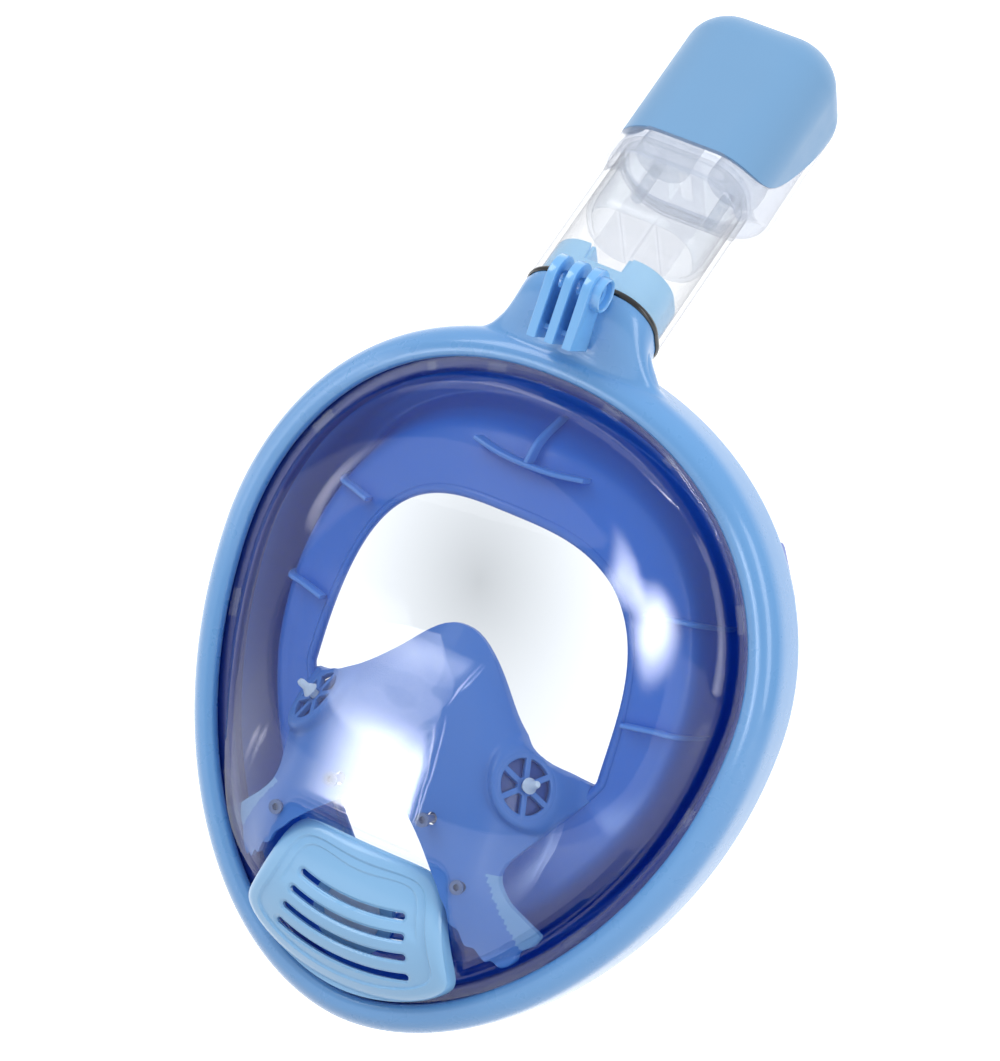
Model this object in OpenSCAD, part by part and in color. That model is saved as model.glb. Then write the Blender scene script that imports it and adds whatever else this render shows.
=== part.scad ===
// Full-face snorkel mask, millimetres.
// Origin: centre of the oval front ring. +X is the wearer's left, +Y goes back towards the face,
// +Z goes up. The snorkel leans back from the top of the ring and slides off along its own axis.

/* [Front ring] */
// Half of the width of the clear opening inside the ring
ring_half_width = 88.4; // [86:0.1:91]
// Height of the opening above its widest level
ring_up = 85; // [83:0.5:87]
// Height of the opening below its widest level
ring_down = 121; // [119:0.5:123]
// Level of the widest part of the opening
ring_level = 8; // [7:0.5:9]
// How far the ring sweeps back from its middle to its sides
ring_sweep = 14; // [12:0.5:16]
// Number of stations around the ring and the other oval shells
stations = 72; // [48:4:96]

/* [Visor] */
// How far the visor bulges forward over the nose
nose_bulge = 25; // [24:0.5:26]
// Wall thickness of the visor
visor_wall = 2.2; // [1.8:0.1:2.4]

/* [Skirt and pocket] */
// Wall thickness of the soft skirt
skirt_wall = 2; // [1.6:0.1:2.2]
// Depth of the skirt behind the ring at the temples
skirt_depth = 36; // [30:1:40]
// Wall thickness of the nose pocket
pocket_wall = 1.8; // [1.4:0.1:2]

/* [Valves] */
// Radius of each inhale valve's flap
inhale_r = 9.2; // [8.6:0.1:9.4]
// Radius of the purge valve's flap
purge_r = 10; // [9:0.1:10.2]
// Length of each exhale flap, from the snorkel's front to its back
exhale_flap_length = 18; // [16:0.5:18]

/* [Snorkel] */
// Lean of the snorkel back from vertical
snorkel_lean = 40; // [39:0.5:41]
// Width of the snorkel tube
tube_w = 46; // [45:0.5:47]
// Depth of the snorkel tube
tube_d = 33; // [32:0.5:34]
// Height of the top of the head above the gasket, along the snorkel
head_top = 125; // [122:0.5:128]
// Width of the snorkel's head
head_w = 53; // [52:0.5:54]
// Depth of the snorkel's head
head_d = 47; // [47:0.5:48]

/* [Camera mount] */
// Radius of the hole for the camera's thumb screw
mount_bore_r = 2.5; // [2.4:0.05:2.6]
// Thickness of each ear
ear_t = 3; // [2.9:0.05:3]
// Gap between two ears
ear_gap = 3.2; // [3.1:0.05:3.3]

/* [Hidden] */
$fn = 48;

// Colours of the moulded parts
ring_blue = [0.36, 0.62, 0.88];
pale_blue = [0.47, 0.73, 0.92];
deep_blue = [0.10, 0.30, 0.78];
pocket_blue = [0.20, 0.45, 0.82];
clear = [0.80, 0.88, 0.96, 0.35];
black = [0.05, 0.05, 0.06];
milky = [0.86, 0.90, 0.94];

// Steps of the clamped stack under the ring's lip, as distances behind the lip's front edge
lip_back = 2.6;
visor_flange_y = 3.9;
skirt_flange_y = 6.2;
rear_frame_y = 7.5;
ring_depth = 20;
ring_wall_in = 7.4;
ring_wall_out = 10;

// ---------- Shape rules ----------

// Curve of the ring's front: flat at the middle, swept back at the sides
function rim_y(x) = -8 + ring_sweep * pow(x / 88, 2);

// Point of the oval opening at angle t about its widest level: [x, z]
function oval(t) =
    let (up = sin(t) >= 0)
    let (n = 1.99 + 0.11 * sin(t))
    let (c = abs(cos(t)) / ring_half_width, s = abs(sin(t)) / (up ? ring_up : ring_down))
    let (r = pow(pow(c, n) + pow(s, n), -1 / n))
    [r * cos(t), ring_level + r * sin(t)];

// Outward unit normal of the oval at angle t: [x, z]
function oval_out(t) =
    let (d = oval(t + 0.5) - oval(t - 0.5))
    [d[1], -d[0]] / norm(d);

function unit(v) = v / norm(v);
function mix(a, b, f) = a + (b - a) * f;
function ease(f) = let (g = max(0, min(1, f))) g * g * (3 - 2 * g);
// Rises from 0 to 1 over a width of about 4 w around 0
function step_up(v, w) = 1 / (1 + exp(-v / w));

// Front of the visor behind the purge cover: a flat recess that leans back going down
function recess_y(x, z) = -25 - 0.26 * (z + 62) + 0.0045 * x * x;
function recess_half_width(z) = 28.5 - 0.24 * (z + 62);
function in_recess(x, z) = step_up(recess_half_width(z) - abs(x), 1) * step_up(-58.5 - z, 1.2);

// Front of the visor: the ring's sweep, 5 mm proud, with a bulge over the nose and mouth
function bulge(x, z) =
    let (v = z + 46)
    nose_bulge * exp(-pow(x / 58, 4)) * (v > 0 ? exp(-pow(v / 44, 2)) : exp(-pow(v / 40, 4)));
function visor_y(x, z) = mix(rim_y(x) - 5 - bulge(x, z), recess_y(x, z), in_recess(x, z));

// Front of the nose pocket: a ridge line that runs forward going down, with steep side faces
function ridge_y(z) = z > -62 ? -30.5 + 19.6 * pow((z + 62) / 73, 1.32) : -30.5 + 0.0165 * pow(z + 62, 2);
function panel_half_width(z) = 33.5 - 24.5 * step_up(z + 10, 7);
function pocket_y(x, z) = ridge_y(z) + 1.5 * 3 * ln(1 + exp((abs(x) - panel_half_width(z)) / 3));
function pocket_top(x) = -31 + 42 / (1 + pow(abs(x) / 25.5, 2.3));
function pocket_bottom(x) = -44.6 - 1.2 * (sqrt(x * x + 196) - 14);

// Front of the purge cover
function cover_y(x, z) = -31 + 0.0155 * pow(z + 76, 2) + 0.0045 * x * x;

// ---------- Solids from stations ----------

function loop_faces(n, m, last) =
    [for (i = [0 : n - 1], j = [0 : last])
        let (a = i * m + j, b = i * m + (j + 1) % m)
        let (c = ((i + 1) % n) * m + (j + 1) % m, d = ((i + 1) % n) * m + j)
        each [[a, c, b], [a, d, c]]];

function flat(lists) = [for (l = lists) each l];

// Closed band: each station holds one closed outline
module band(loops) {
    polyhedron(flat(loops), loop_faces(len(loops), len(loops[0]), len(loops[0]) - 1), 8);
}

// Dish: each station holds the wall's outline from one pole, round the rim, to the other pole
module dish(loops, front_pole, back_pole) {
    n = len(loops);
    m = len(loops[0]);
    faces = concat(
        loop_faces(n, m, m - 2),
        [for (i = [0 : n - 1]) [n * m, ((i + 1) % n) * m, i * m]],
        [for (i = [0 : n - 1]) [n * m + 1, i * m + m - 1, ((i + 1) % n) * m + m - 1]]
    );
    polyhedron(concat(flat(loops), [front_pole, back_pole]), faces, 8);
}

// Sheet: a row of columns, each a closed outline of a front column and its back column
module sheet(loops) {
    n = len(loops);
    m = len(loops[0]);
    k = m / 2;
    faces = concat(
        [for (i = [0 : n - 2], j = [0 : m - 1])
            let (a = i * m + j, b = i * m + (j + 1) % m, c = (i + 1) * m + (j + 1) % m, d = (i + 1) * m + j)
            each [[a, c, b], [a, d, c]]],
        [for (j = [0 : k - 2]) each [[j, m - 2 - j, m - 1 - j], [j, j + 1, m - 2 - j]]],
        [for (j = [0 : k - 2]) let (o = (n - 1) * m)
            each [[o + j, o + m - 1 - j, o + m - 2 - j], [o + j, o + m - 2 - j, o + j + 1]]]
    );
    polyhedron(flat(loops), faces, 8);
}

// Unit normal of a path at point i, to the left of its direction
function path_normal(p, i) =
    let (a = p[max(0, i - 1)], b = p[min(len(p) - 1, i + 1)])
    let (d = unit(b - a))
    [-d[1], d[0]];

// Wall of thickness t about a path: forward along one side and back along the other
function thicken(p, t) = concat(
    [for (i = [0 : len(p) - 1]) p[i] + path_normal(p, i) * t / 2],
    [for (i = [len(p) - 1 : -1 : 0]) p[i] - path_normal(p, i) * t / 2]
);

// Places [distance, y] pairs along direction d from the point p, both given as [x, z]
function place(p, d, path) = [for (q = path) [p[0] + d[0] * q[0], q[1], p[1] + d[1] * q[0]]];

function angles(n) = [for (i = [0 : n - 1]) i * 360 / n];

// ---------- Snorkel frame ----------

gasket_centre = [0, 3.9, 113];

// Places children in the snorkel's own frame: +Z along the tube, +Y to its back
module along_snorkel(s = 0) {
    translate(gasket_centre)
        rotate([-snorkel_lean, 0, 0])
            translate([0, 0, s])
                children();
}

// Rectangle w by d with corners of radius r
module rounded(w, d, r) {
    square([w, d - 2 * r], center = true);
    square([w - 2 * r, d], center = true);
    for (x = [-1, 1], y = [-1, 1])
        translate([x * (w / 2 - r), y * (d / 2 - r)])
            circle(r);
}

// ---------- Front frame ----------

ring_profile = [
    [0, 0], [1, -1.1], [3, -1.6], [5.5, -0.9], [8, 1.4], [9.6, 5], [ring_wall_out, 12],
    [ring_wall_out, ring_depth], [ring_wall_in, ring_depth], [ring_wall_in, lip_back], [0, lip_back]
];

// A band whose profile follows the oval: [distance outside the opening's edge, y behind the lip]
module oval_band(profile) {
    band([for (t = angles(stations))
        let (p = oval(t), y0 = rim_y(p[0]))
        place(p, oval_out(t), [for (q = profile) [q[0], q[1] + y0]])]);
}

neck_top = -1.6;
neck_base_z = 100.6;
neck_front = -9.3;

module neck_shape(inset) {
    hull() {
        along_snorkel(neck_top - 1.4 - inset / 4)
            linear_extrude(1.4 + inset / 2)
                rounded(tube_w - 2 * inset, tube_d - 2 * inset, 14 - inset);
        translate([-24 + inset, neck_front + inset, neck_base_z - inset])
            cube([48 - 2 * inset, 20.2 - 2 * inset, 1.9]);
    }
}

// Way for the air from the neck through the clamped stack into the mask
module air_port(w, z_low, z_high) {
    translate([-w / 2, 3.4, z_low])
        cube([w, 6.2, z_high - z_low]);
}

module front_frame() {
    color(ring_blue)
        difference() {
            union() {
                oval_band(ring_profile);
                neck_shape(0);
                translate([-20, neck_front, 96.5])
                    cube([40, 3.7, 5]);
            }
            neck_shape(2);
            air_port(30, 96, 101.5);
        }
}

// ---------- Rear frame with its strap lugs ----------

rear_profile = [
    [7.1, rear_frame_y], [7.1, 19.5], [4.6, 19.5], [4.6, rear_frame_y + 3], [-1, rear_frame_y + 3],
    [-1, rear_frame_y]
];
lug_angles = [32, 148, -38, -142];
lug_w = 20;
lug_out = 13;

// Slotted lug that stands back from the ring, for a strap's end
module strap_lug(t) {
    p = oval(t);
    n = oval_out(t);
    a = atan2(n[1], n[0]);
    translate([p[0], rim_y(p[0]) + 17, p[1]])
        rotate([0, -a, 0])
            difference() {
                translate([4.2, 0, -lug_w / 2])
                    cube([2.3, lug_out, lug_w]);
                translate([3, 6.5, -6.5])
                    cube([6, 3.5, 13]);
            }
}

module rear_frame() {
    color(deep_blue)
        difference() {
            union() {
                oval_band(rear_profile);
                for (t = lug_angles)
                    strap_lug(t);
            }
            air_port(30, 92, 101.5);
        }
}

// ---------- Visor ----------

visor_pole = [0, -12];

// Middle line of the visor's wall from its flange to near the pole, as [distance inwards, y]
function visor_path(p, d) =
    let (y0 = rim_y(p[0]), l = norm(visor_pole - p))
    concat(
        [[-6.2, y0 + visor_flange_y], [3.5, y0 + visor_flange_y], [5.2, y0 + 2.6], [6.2, y0 - 1.5]],
        [for (f = [0, 0.08, 0.18, 0.3, 0.42, 0.54, 0.66, 0.78, 0.9])
            let (s = mix(9, l, f), q = p + d * s)
            [s, visor_y(q[0], q[1]) + visor_wall / 2 + 1.6 * pow(1 - f, 12)]]
    );

// Outline from the front pole round the rim to the back pole
function from_pole(p, t) =
    let (w = thicken(p, t), k = len(p))
    concat([for (i = [k : 2 * k - 1]) w[i]], [for (i = [0 : k - 1]) w[i]]);

module visor_lens() {
    port = visor_y(visor_pole[0], visor_pole[1]);
    color(clear)
        difference() {
            dish([for (t = angles(stations))
                    let (p = oval(t), d = unit(visor_pole - p))
                    place(p, d, from_pole(visor_path(p, d), visor_wall))],
                [0, port, visor_pole[1]], [0, port + visor_wall, visor_pole[1]]);
            at_purge()
                translate([0, 0, -12])
                    cylinder(r = purge_port_r, h = 20);
        }
}

// ---------- Soft skirt ----------

// Opening for the eyes, nose and mouth: [x, z] at angle t about its centre. It narrows below the eyes
opening_level = -22;
function opening(t) =
    let (up = sin(t) >= 0, n = up ? 3 : 1.15)
    let (c = abs(cos(t)) / 53, s = abs(sin(t)) / (up ? 71.5 : 68))
    let (r = pow(pow(c, n) + pow(s, n), -1 / n))
    [r * cos(t), opening_level + r * sin(t)];
function opening_y(x, z) = -5.8 + 18 * pow(x / 52, 2) + (z < 0 ? 20 * pow(z / 95, 2) : 0);
// Depth of the fold behind the ring: shallow at the forehead, deep at the temples and chin
function fold_depth(t) = let (s = sin(t)) s > 0 ? mix(skirt_depth, 15, ease(s)) : mix(skirt_depth, 30, ease(-s));

function skirt_path(p, e) =
    let (l = norm(e - p), y0 = rim_y(p[0]), ye = opening_y(e[0], e[1]))
    let (t = atan2(p[1] - ring_level, p[0]), deep = y0 + 9 + fold_depth(t))
    [
        [-6.2, y0 + skirt_flange_y], [1.5, y0 + skirt_flange_y], [3.2, y0 + 8.2], [3.8, y0 + 13],
        [5, mix(y0 + 13, deep, 0.6)], [7.5, deep - 2.5], [mix(7.5, l, 0.1), deep],
        [mix(7.5, l, 0.2), deep - 3], [mix(7.5, l, 0.3), mix(deep, ye + 5, 0.55)],
        [mix(7.5, l, 0.42), ye + 6.5], [mix(7.5, l, 0.62), ye + 3.5], [mix(7.5, l, 0.82), ye + 1.6], [l, ye]
    ];

module face_skirt() {
    color(deep_blue)
        difference() {
            band([for (t = angles(stations))
                let (p = oval(t), e = opening(atan2((p[1] - opening_level) * 0.8, p[0])))
                place(p, unit(e - p), thicken(skirt_path(p, e), skirt_wall))]);
            air_port(28, 84, 101.5);
        }
}

// ---------- Nose pocket and its valves ----------

pocket_half = 54;
pocket_columns = 30;
pocket_rows = 12;

function pocket_column(x) =
    let (top = pocket_top(x), low = pocket_bottom(x))
    let (zs = [for (j = [0 : pocket_rows]) mix(top, low, j / pocket_rows)])
    concat([for (z = zs) [x, pocket_y(x, z), z]],
        [for (j = [pocket_rows : -1 : 0]) [x, pocket_y(x, zs[j]) + pocket_wall + 0.02 * abs(x), zs[j]]]);

inhale_centre = [37.5, -15.2, -27.6];
inhale_normal = unit([0.69, -0.58, 0.43]);
seat_r = 10.8;
stem_r = 1.5;
stem_gap = 0.06;
inhale_travel = 1.5;

// Places children at an inhale valve: +Z out of the pocket; side is 1 or -1
module at_inhale(side) {
    n = inhale_normal;
    mirror([side < 0 ? 1 : 0, 0, 0])
        translate(inhale_centre)
            rotate([0, acos(n[2]), atan2(n[1], n[0])])
                children();
}

// Disc with a hub and six windows
module spoked_seat(r, t, hub_r, bore_r) {
    difference() {
        cylinder(r = r, h = t, center = true);
        cylinder(r = bore_r, h = t + 1, center = true);
        for (a = [0 : 60 : 300])
            rotate(a)
                linear_extrude(t + 1, center = true)
                    intersection() {
                        difference() {
                            circle(r - 1.9);
                            circle(hub_r);
                        }
                        polygon([[0.9, 1.7], [2 * r, 1.7 + (2 * r - 0.9) * tan(50)], [2 * r, 1.1], [1.9, 1.1]]);
                    }
    }
}

pin_places = [[16.5, -45.7], [32.7, -61.8]];

module nose_pocket() {
    color(pocket_blue)
        difference() {
            union() {
                difference() {
                    sheet([for (i = [0 : pocket_columns])
                        pocket_column(mix(-pocket_half, pocket_half, i / pocket_columns))]);
                    for (side = [-1, 1])
                        at_inhale(side)
                            cylinder(r = seat_r - 1, h = 16, center = true);
                }
                for (side = [-1, 1])
                    at_inhale(side)
                        spoked_seat(seat_r, 2, 3, stem_r + stem_gap);
            }
            for (p = pin_places, side = [-1, 1])
                translate([side * p[0], -28, p[1]])
                    rotate([90, 0, 0])
                        cylinder(r = 1.5, h = 16, center = true);
        }
}

module pocket_pins() {
    color(milky)
        for (p = pin_places, side = [-1, 1])
            let (back = pocket_y(p[0], p[1]) + 3.4, front = visor_y(p[0], p[1]) + visor_wall + 0.7)
                translate([side * p[0], back, p[1]])
                    rotate([90, 0, 0]) {
                        cylinder(r = 1.4, h = back - front);
                        translate([0, 0, -0.9])
                            cylinder(r = 2.1, h = 0.9);
                    }
}

// Umbrella flap behind the seat, with its nipple through the hub
module inhale_valve(side) {
    color(milky)
        at_inhale(side) {
            translate([0, 0, -1.9])
                cylinder(r = inhale_r, h = 0.8);
            translate([0, 0, -1.5])
                cylinder(r = stem_r, h = 4.8);
            translate([0, 0, 1.2 + inhale_travel])
                cylinder(r1 = 2.6, r2 = 1.2, h = 2.6);
            translate([0, 0, 4.5])
                cylinder(r = 1.2, h = 3.6);
        }
}

// ---------- Purge valve and cover ----------

purge_centre = [0, recess_y(0, -84), -84];
purge_port_r = 12;

// Places children at the purge port: +Z out of the visor
module at_purge() {
    translate(purge_centre)
        rotate([90 + atan(0.26), 0, 0])
            children();
}

module purge_seat() {
    color(pale_blue)
        at_purge()
            difference() {
                union() {
                    translate([0, 0, 1])
                        cylinder(r = purge_port_r + 2, h = 1.4);
                    translate([0, 0, -4])
                        cylinder(r = purge_port_r - 0.2, h = 6);
                }
                translate([0, 0, -5])
                    cylinder(r = purge_port_r - 1.8, h = 5);
                spoke_windows();
                translate([0, 0, -5])
                    cylinder(r = stem_r + stem_gap, h = 9);
            }
}

module spoke_windows() {
    for (a = [0 : 60 : 300])
        rotate(a)
            translate([0, 0, -1])
                linear_extrude(4)
                    intersection() {
                        difference() {
                            circle(purge_r - 1.2);
                            circle(3.2);
                        }
                        polygon([[0.9, 1.7], [20, 1.7 + 19.1 * tan(50)], [20, 1.1], [1.9, 1.1]]);
                    }
}

module purge_valve() {
    color(milky)
        at_purge() {
            translate([0, 0, 2.5])
                cylinder(r = purge_r, h = 0.9);
            translate([0, 0, -3])
                cylinder(r = stem_r, h = 6);
            translate([0, 0, -5.6])
                cylinder(r1 = 1, r2 = 2.2, h = 3.2);
        }
}

// Outline of the cover: a rounded trapezium whose lower edge follows the ring, [x, z]
function cover_outline(t) =
    let (n = 7, c = cos(t), s = sin(t))
    let (r = pow(pow(abs(c), n) + pow(abs(s), n), -1 / n))
    let (u = r * c, v = r * s, half = mix(39, 27, (v + 1) / 2))
    let (x = u * half, low = -111.4 + 12 * pow(x / 36.2, 2))
    [x, mix(low, -61, (v + 1) / 2)];
cover_pole = [0, -86];
cover_wall = 1.6;

function cover_path(p, d) =
    let (l = norm(cover_pole - p), foot = min(visor_y(p[0], p[1]), rim_y(p[0]) - 2) - 0.6)
    concat(
        [[0.9, foot], [0.9, mix(foot, cover_y(p[0], p[1]), 0.55)], [1.6, cover_y(p[0], p[1]) + 1.1]],
        [for (f = [0, 0.2, 0.45, 0.7])
            let (s = mix(3.6, l, f), q = p + d * s)
            [s, cover_y(q[0], q[1]) + cover_wall / 2]]
    );

vent_rows = 4;

// Curved vent slot number i, cut straight through the cover
module vent(i) {
    half = 17.8 + 1.7 * i;
    z = -78 - 6.35 * i;
    sag_r = 75;
    translate([0, -5, z])
        rotate([90, 0, 0])
            linear_extrude(40)
                intersection() {
                    translate([0, sqrt(sag_r * sag_r - half * half)])
                        difference() {
                            circle(sag_r + 1.2, $fn = 128);
                            circle(sag_r - 1.2, $fn = 128);
                        }
                    translate([-half, -8])
                        square([2 * half, 10]);
                }
}

module purge_cover() {
    face = cover_y(cover_pole[0], cover_pole[1]);
    color(pale_blue)
        difference() {
            dish([for (t = angles(48))
                    let (p = cover_outline(t), d = unit(cover_pole - p))
                    place(p, d, from_pole(cover_path(p, d), cover_wall))],
                [0, face, cover_pole[1]], [0, face + cover_wall, cover_pole[1]]);
            for (i = [0 : vent_rows - 1])
                vent(i);
        }
}

// ---------- Camera mount ----------

ear_r = 7.5;
ear_y = -17;
ear_z = 123;
mount_back = -10;
boss_t = 3;
nut_depth = 2.5;
pitch = ear_t + ear_gap;

// Ear profile in the YZ plane, turned so that it extrudes along +X
module ear(x, t) {
    translate([x, 0, 0])
        rotate([90, 0, 90])
            linear_extrude(t)
                intersection() {
                    union() {
                        translate([ear_y, ear_z])
                            circle(ear_r);
                        translate([ear_y - ear_r, 104])
                            square([2 * ear_r, ear_z - 104]);
                    }
                    translate([-30, 100])
                        square([30 + mount_back, 40]);
                }
}

module camera_mount() {
    outer = pitch + ear_t / 2;
    color(pale_blue)
        difference() {
            union() {
                for (i = [-1 : 1])
                    ear(i * pitch - ear_t / 2, ear_t);
                translate([outer - 0.1, ear_y, ear_z])
                    rotate([0, 90, 0])
                        cylinder(r = 5.6, h = boss_t + 0.1);
                translate([-outer, mount_back - 2, 104])
                    cube([2 * outer, 2, 12]);
                translate([-outer, ear_y - 2, 107])
                    cube([2 * outer, 4, 1.6]);
            }
            translate([-outer - 1, ear_y, ear_z])
                rotate([0, 90, 0])
                    cylinder(r = mount_bore_r, h = 2 * outer + 6);
            translate([outer + boss_t - nut_depth, ear_y, ear_z])
                rotate([0, 90, 0])
                    cylinder(r = 4.4, h = nut_depth + 1);
        }
}

// ---------- Snorkel ----------

spigot_w = tube_w - 4;
spigot_d = tube_d - 4;
spigot_top = 16;
step_depth = 6;
channel_x = 6.5;
divider_t = 1.4;
gasket_t = 2;
tube_base = gasket_t + 0.05;
tube_wall = 1.8;
tube_top = 60;
divider_top = 31.5;
flap_x = 11.75;

module snorkel_connector() {
    inner_w = spigot_w - 3.6;
    inner_d = spigot_d - 3.6;
    color(pale_blue)
        along_snorkel()
            difference() {
                union() {
                    translate([0, 0, neck_top + 0.1])
                        linear_extrude(-neck_top - 0.1)
                            rounded(tube_w - 1, tube_d - 1, 13.5);
                    linear_extrude(spigot_top)
                        difference() {
                            rounded(spigot_w, spigot_d, 12);
                            rounded(inner_w, inner_d, 10.2);
                        }
                    for (x = [-channel_x, channel_x])
                        translate([x - divider_t / 2, -spigot_d / 2 + 1, 0])
                            cube([divider_t, spigot_d - 2, spigot_top]);
                }
                // Middle way for fresh air
                translate([-channel_x + 1, -11, -3])
                    cube([2 * channel_x - 2, 22, 4]);
                // Ports under the two exhale flaps
                for (x = [-flap_x, flap_x])
                    translate([x - 2.7, -6.5, -3])
                        cube([5.4, 13, 4]);
                // Lower step in the front and back walls between the dividers
                translate([-channel_x - 0.7, -spigot_d, spigot_top - step_depth])
                    cube([2 * channel_x + 1.4, 2 * spigot_d, step_depth + 1]);
            }
}

module exhale_flap(side) {
    color(milky)
        along_snorkel(0.1)
            translate([side * flap_x - 3.7, -exhale_flap_length / 2, 0])
                cube([7.4, exhale_flap_length, 0.8]);
}

module neck_gasket() {
    color(black)
        along_snorkel()
            linear_extrude(gasket_t)
                difference() {
                    rounded(tube_w - 0.4, tube_d - 0.4, 13.8);
                    rounded(spigot_w + 0.1, spigot_d + 0.1, 12.05);
                }
}

module snorkel_tube() {
    bore_w = tube_w - 2 * tube_wall;
    bore_d = tube_d - 2 * tube_wall;
    color(clear)
        along_snorkel() {
            difference() {
                translate([0, 0, tube_base])
                    linear_extrude(tube_top - tube_base)
                        rounded(tube_w, tube_d, 14);
                translate([0, 0, tube_base - 1])
                    linear_extrude(tube_top)
                        rounded(bore_w, bore_d, 12.2);
            }
            for (x = [-channel_x, channel_x])
                translate([x - divider_t / 2, -bore_d / 2 - 0.5, spigot_top + 0.5])
                    cube([divider_t, bore_d + 1, divider_top - spigot_top - 0.5]);
        }
}

cup_low = 32;
deck = 60.2;
deck_t = 2;
float_x = 13;
float_y = 6;
guide_r = 2;

// Clear insert in the tube's top: a divided spigot below a deck that carries the floats' guides
module valve_cup() {
    color(clear)
        along_snorkel()
            difference() {
                union() {
                    translate([0, 0, cup_low])
                        linear_extrude(deck - cup_low)
                            difference() {
                                rounded(tube_w - 2 * tube_wall - 0.4, tube_d - 2 * tube_wall - 0.4, 12);
                                rounded(tube_w - 2 * tube_wall - 3.6, tube_d - 2 * tube_wall - 3.6, 10.4);
                            }
                    for (x = [-channel_x, channel_x])
                        translate([x - divider_t / 2, -tube_d / 2 + 3, cup_low])
                            cube([divider_t, tube_d - 6, deck - cup_low]);
                    translate([0, 0, deck])
                        linear_extrude(deck_t)
                            rounded(tube_w, tube_d, 14);
                }
                // Air ways through the deck, in front of the floats and between them
                translate([-15, -12.6, deck - 1])
                    cube([30, 7, 5]);
                translate([-2.6, -4, deck - 1])
                    cube([5.2, 15, 5]);
                for (x = [-float_x, float_x])
                    translate([x, float_y, deck - 1])
                        cylinder(r = guide_r + stem_gap, h = 5);
            }
}

head_y = 7;
head_low = 60;
head_low_front = 52;
head_wall = 2;
head_r = 17;
cap_low = 64;
cap_side = 76;
cap_back = 113;

// Rounded box of the whole head, made smaller on every side by inset
module head_shape(inset) {
    w = head_w / 2 - head_r;
    d = head_d / 2 - head_r;
    r = head_r - inset;
    translate([0, head_y, 0])
        hull() {
            for (x = [-w, w], y = [-d, d])
                translate([x, y, 0]) {
                    translate([0, 0, (y < 0 ? head_low_front : head_low) + 8 + inset])
                        flat_ball(r, 8);
                    translate([0, 0, head_top - 14 - inset])
                        flat_ball(r, 14);
                }
        }
}

// Flattened ball of half width r and half height h, built as a turned arc with flats to the four sides
module flat_ball(r, h) {
    sides = 32;
    rotate(180 / sides)
        rotate_extrude($fn = sides)
            polygon([for (a = [-90 : 15 : 90]) [r / cos(180 / sides) * cos(a), h * sin(a)]]);
}

// Line where the blue cap ends, as [depth, level]: flat across the front, then rising to the back
head_front = head_y - head_d / 2;
split_power = 2.66;
split_back = pow((cap_back - cap_low) / (cap_side - cap_low), 1 / split_power);
split_line = [
    for (f = [0 : 0.1 : 1])
        let (g = f * split_back)
        [head_front + g * (head_d / 2 - 2), cap_low + (cap_side - cap_low) * pow(g, split_power)]
];

// Space above that line
module above_split(gap) {
    rotate([90, 0, 90])
        linear_extrude(80, center = true)
            translate([0, gap])
                polygon(concat([[-60, cap_low - 1]], split_line, [[60, cap_back + 1], [60, 150], [-60, 150]]));
}

module top_cap() {
    color(ring_blue)
        along_snorkel()
            intersection() {
                difference() {
                    head_shape(0);
                    head_shape(head_wall);
                }
                above_split(0.1);
            }
}

// Clear lower half of the head, open at the back for the air
module rear_housing() {
    color(clear)
        along_snorkel()
            difference() {
                head_shape(0);
                head_shape(head_wall);
                above_split(-0.1);
                translate([0, 0, head_low_front - 1])
                    linear_extrude(deck + deck_t + 0.2 - head_low_front + 1)
                        rounded(tube_w + 0.3, tube_d + 0.3, 14.1);
                // Three air slots in the floor behind the tube
                for (x = [-14, 0, 14])
                    translate([x - 4, tube_d / 2 + 3, head_low - 5])
                        cube([8, 6, 16]);
            }
}

float_low = 68;
float_h = 24;
float_r = 9.5;
float_travel = 8;
seal_t = 1.6;
seat_s = float_low + float_h + seal_t + float_travel + 0.1;

// Plate under the cap with the two air ports that the floats close
module seat_plate() {
    color(milky)
        along_snorkel(seat_s)
            translate([0, head_y, 0])
                linear_extrude(1.8)
                    difference() {
                        rounded(head_w - 2 * head_wall - 1, head_d - 2 * head_wall - 1, 14.5);
                        for (x = [-float_x, float_x])
                            translate([x, float_y - head_y])
                                circle(6);
                    }
}

module float_body(side) {
    color(pale_blue)
        along_snorkel()
            translate([side * float_x, float_y, 0]) {
                translate([0, 0, float_low])
                    cylinder(r = float_r, h = float_h);
                translate([0, 0, deck - 9])
                    cylinder(r = guide_r, h = float_low - deck + 9.5);
            }
}

module float_seal(side) {
    color(black)
        along_snorkel(float_low + float_h)
            translate([side * float_x, float_y, 0])
                cylinder(r = 8.5, h = seal_t);
}

front_frame();
rear_frame();
visor_lens();
face_skirt();
nose_pocket();
pocket_pins();
inhale_valve(1);  // inhale_valve_left
inhale_valve(-1);  // inhale_valve_right
exhale_flap(1);  // exhale_flap_left
exhale_flap(-1);  // exhale_flap_right
purge_cover();
purge_seat();
purge_valve();
camera_mount();
snorkel_connector();
neck_gasket();
snorkel_tube();
valve_cup();
rear_housing();
seat_plate();
top_cap();
float_body(1);  // float_left
float_body(-1);  // float_right
float_seal(1);  // float_seal_left
float_seal(-1);  // float_seal_right
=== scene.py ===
"""Looks of the full-face snorkel mask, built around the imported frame.

Lengths in the shape rules are millimetres in the frame's axes: +X the wearer's left, +Y back to
the face, +Z up. new_object turns them into metres. The snorkel has axes of its own from the
gasket's centre: x, the level s up its length, and the depth w behind its middle."""
import math

import bmesh
import bpy
import numpy as np
from mathutils import Matrix, Vector
from mathutils.bvhtree import BVHTree


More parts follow.
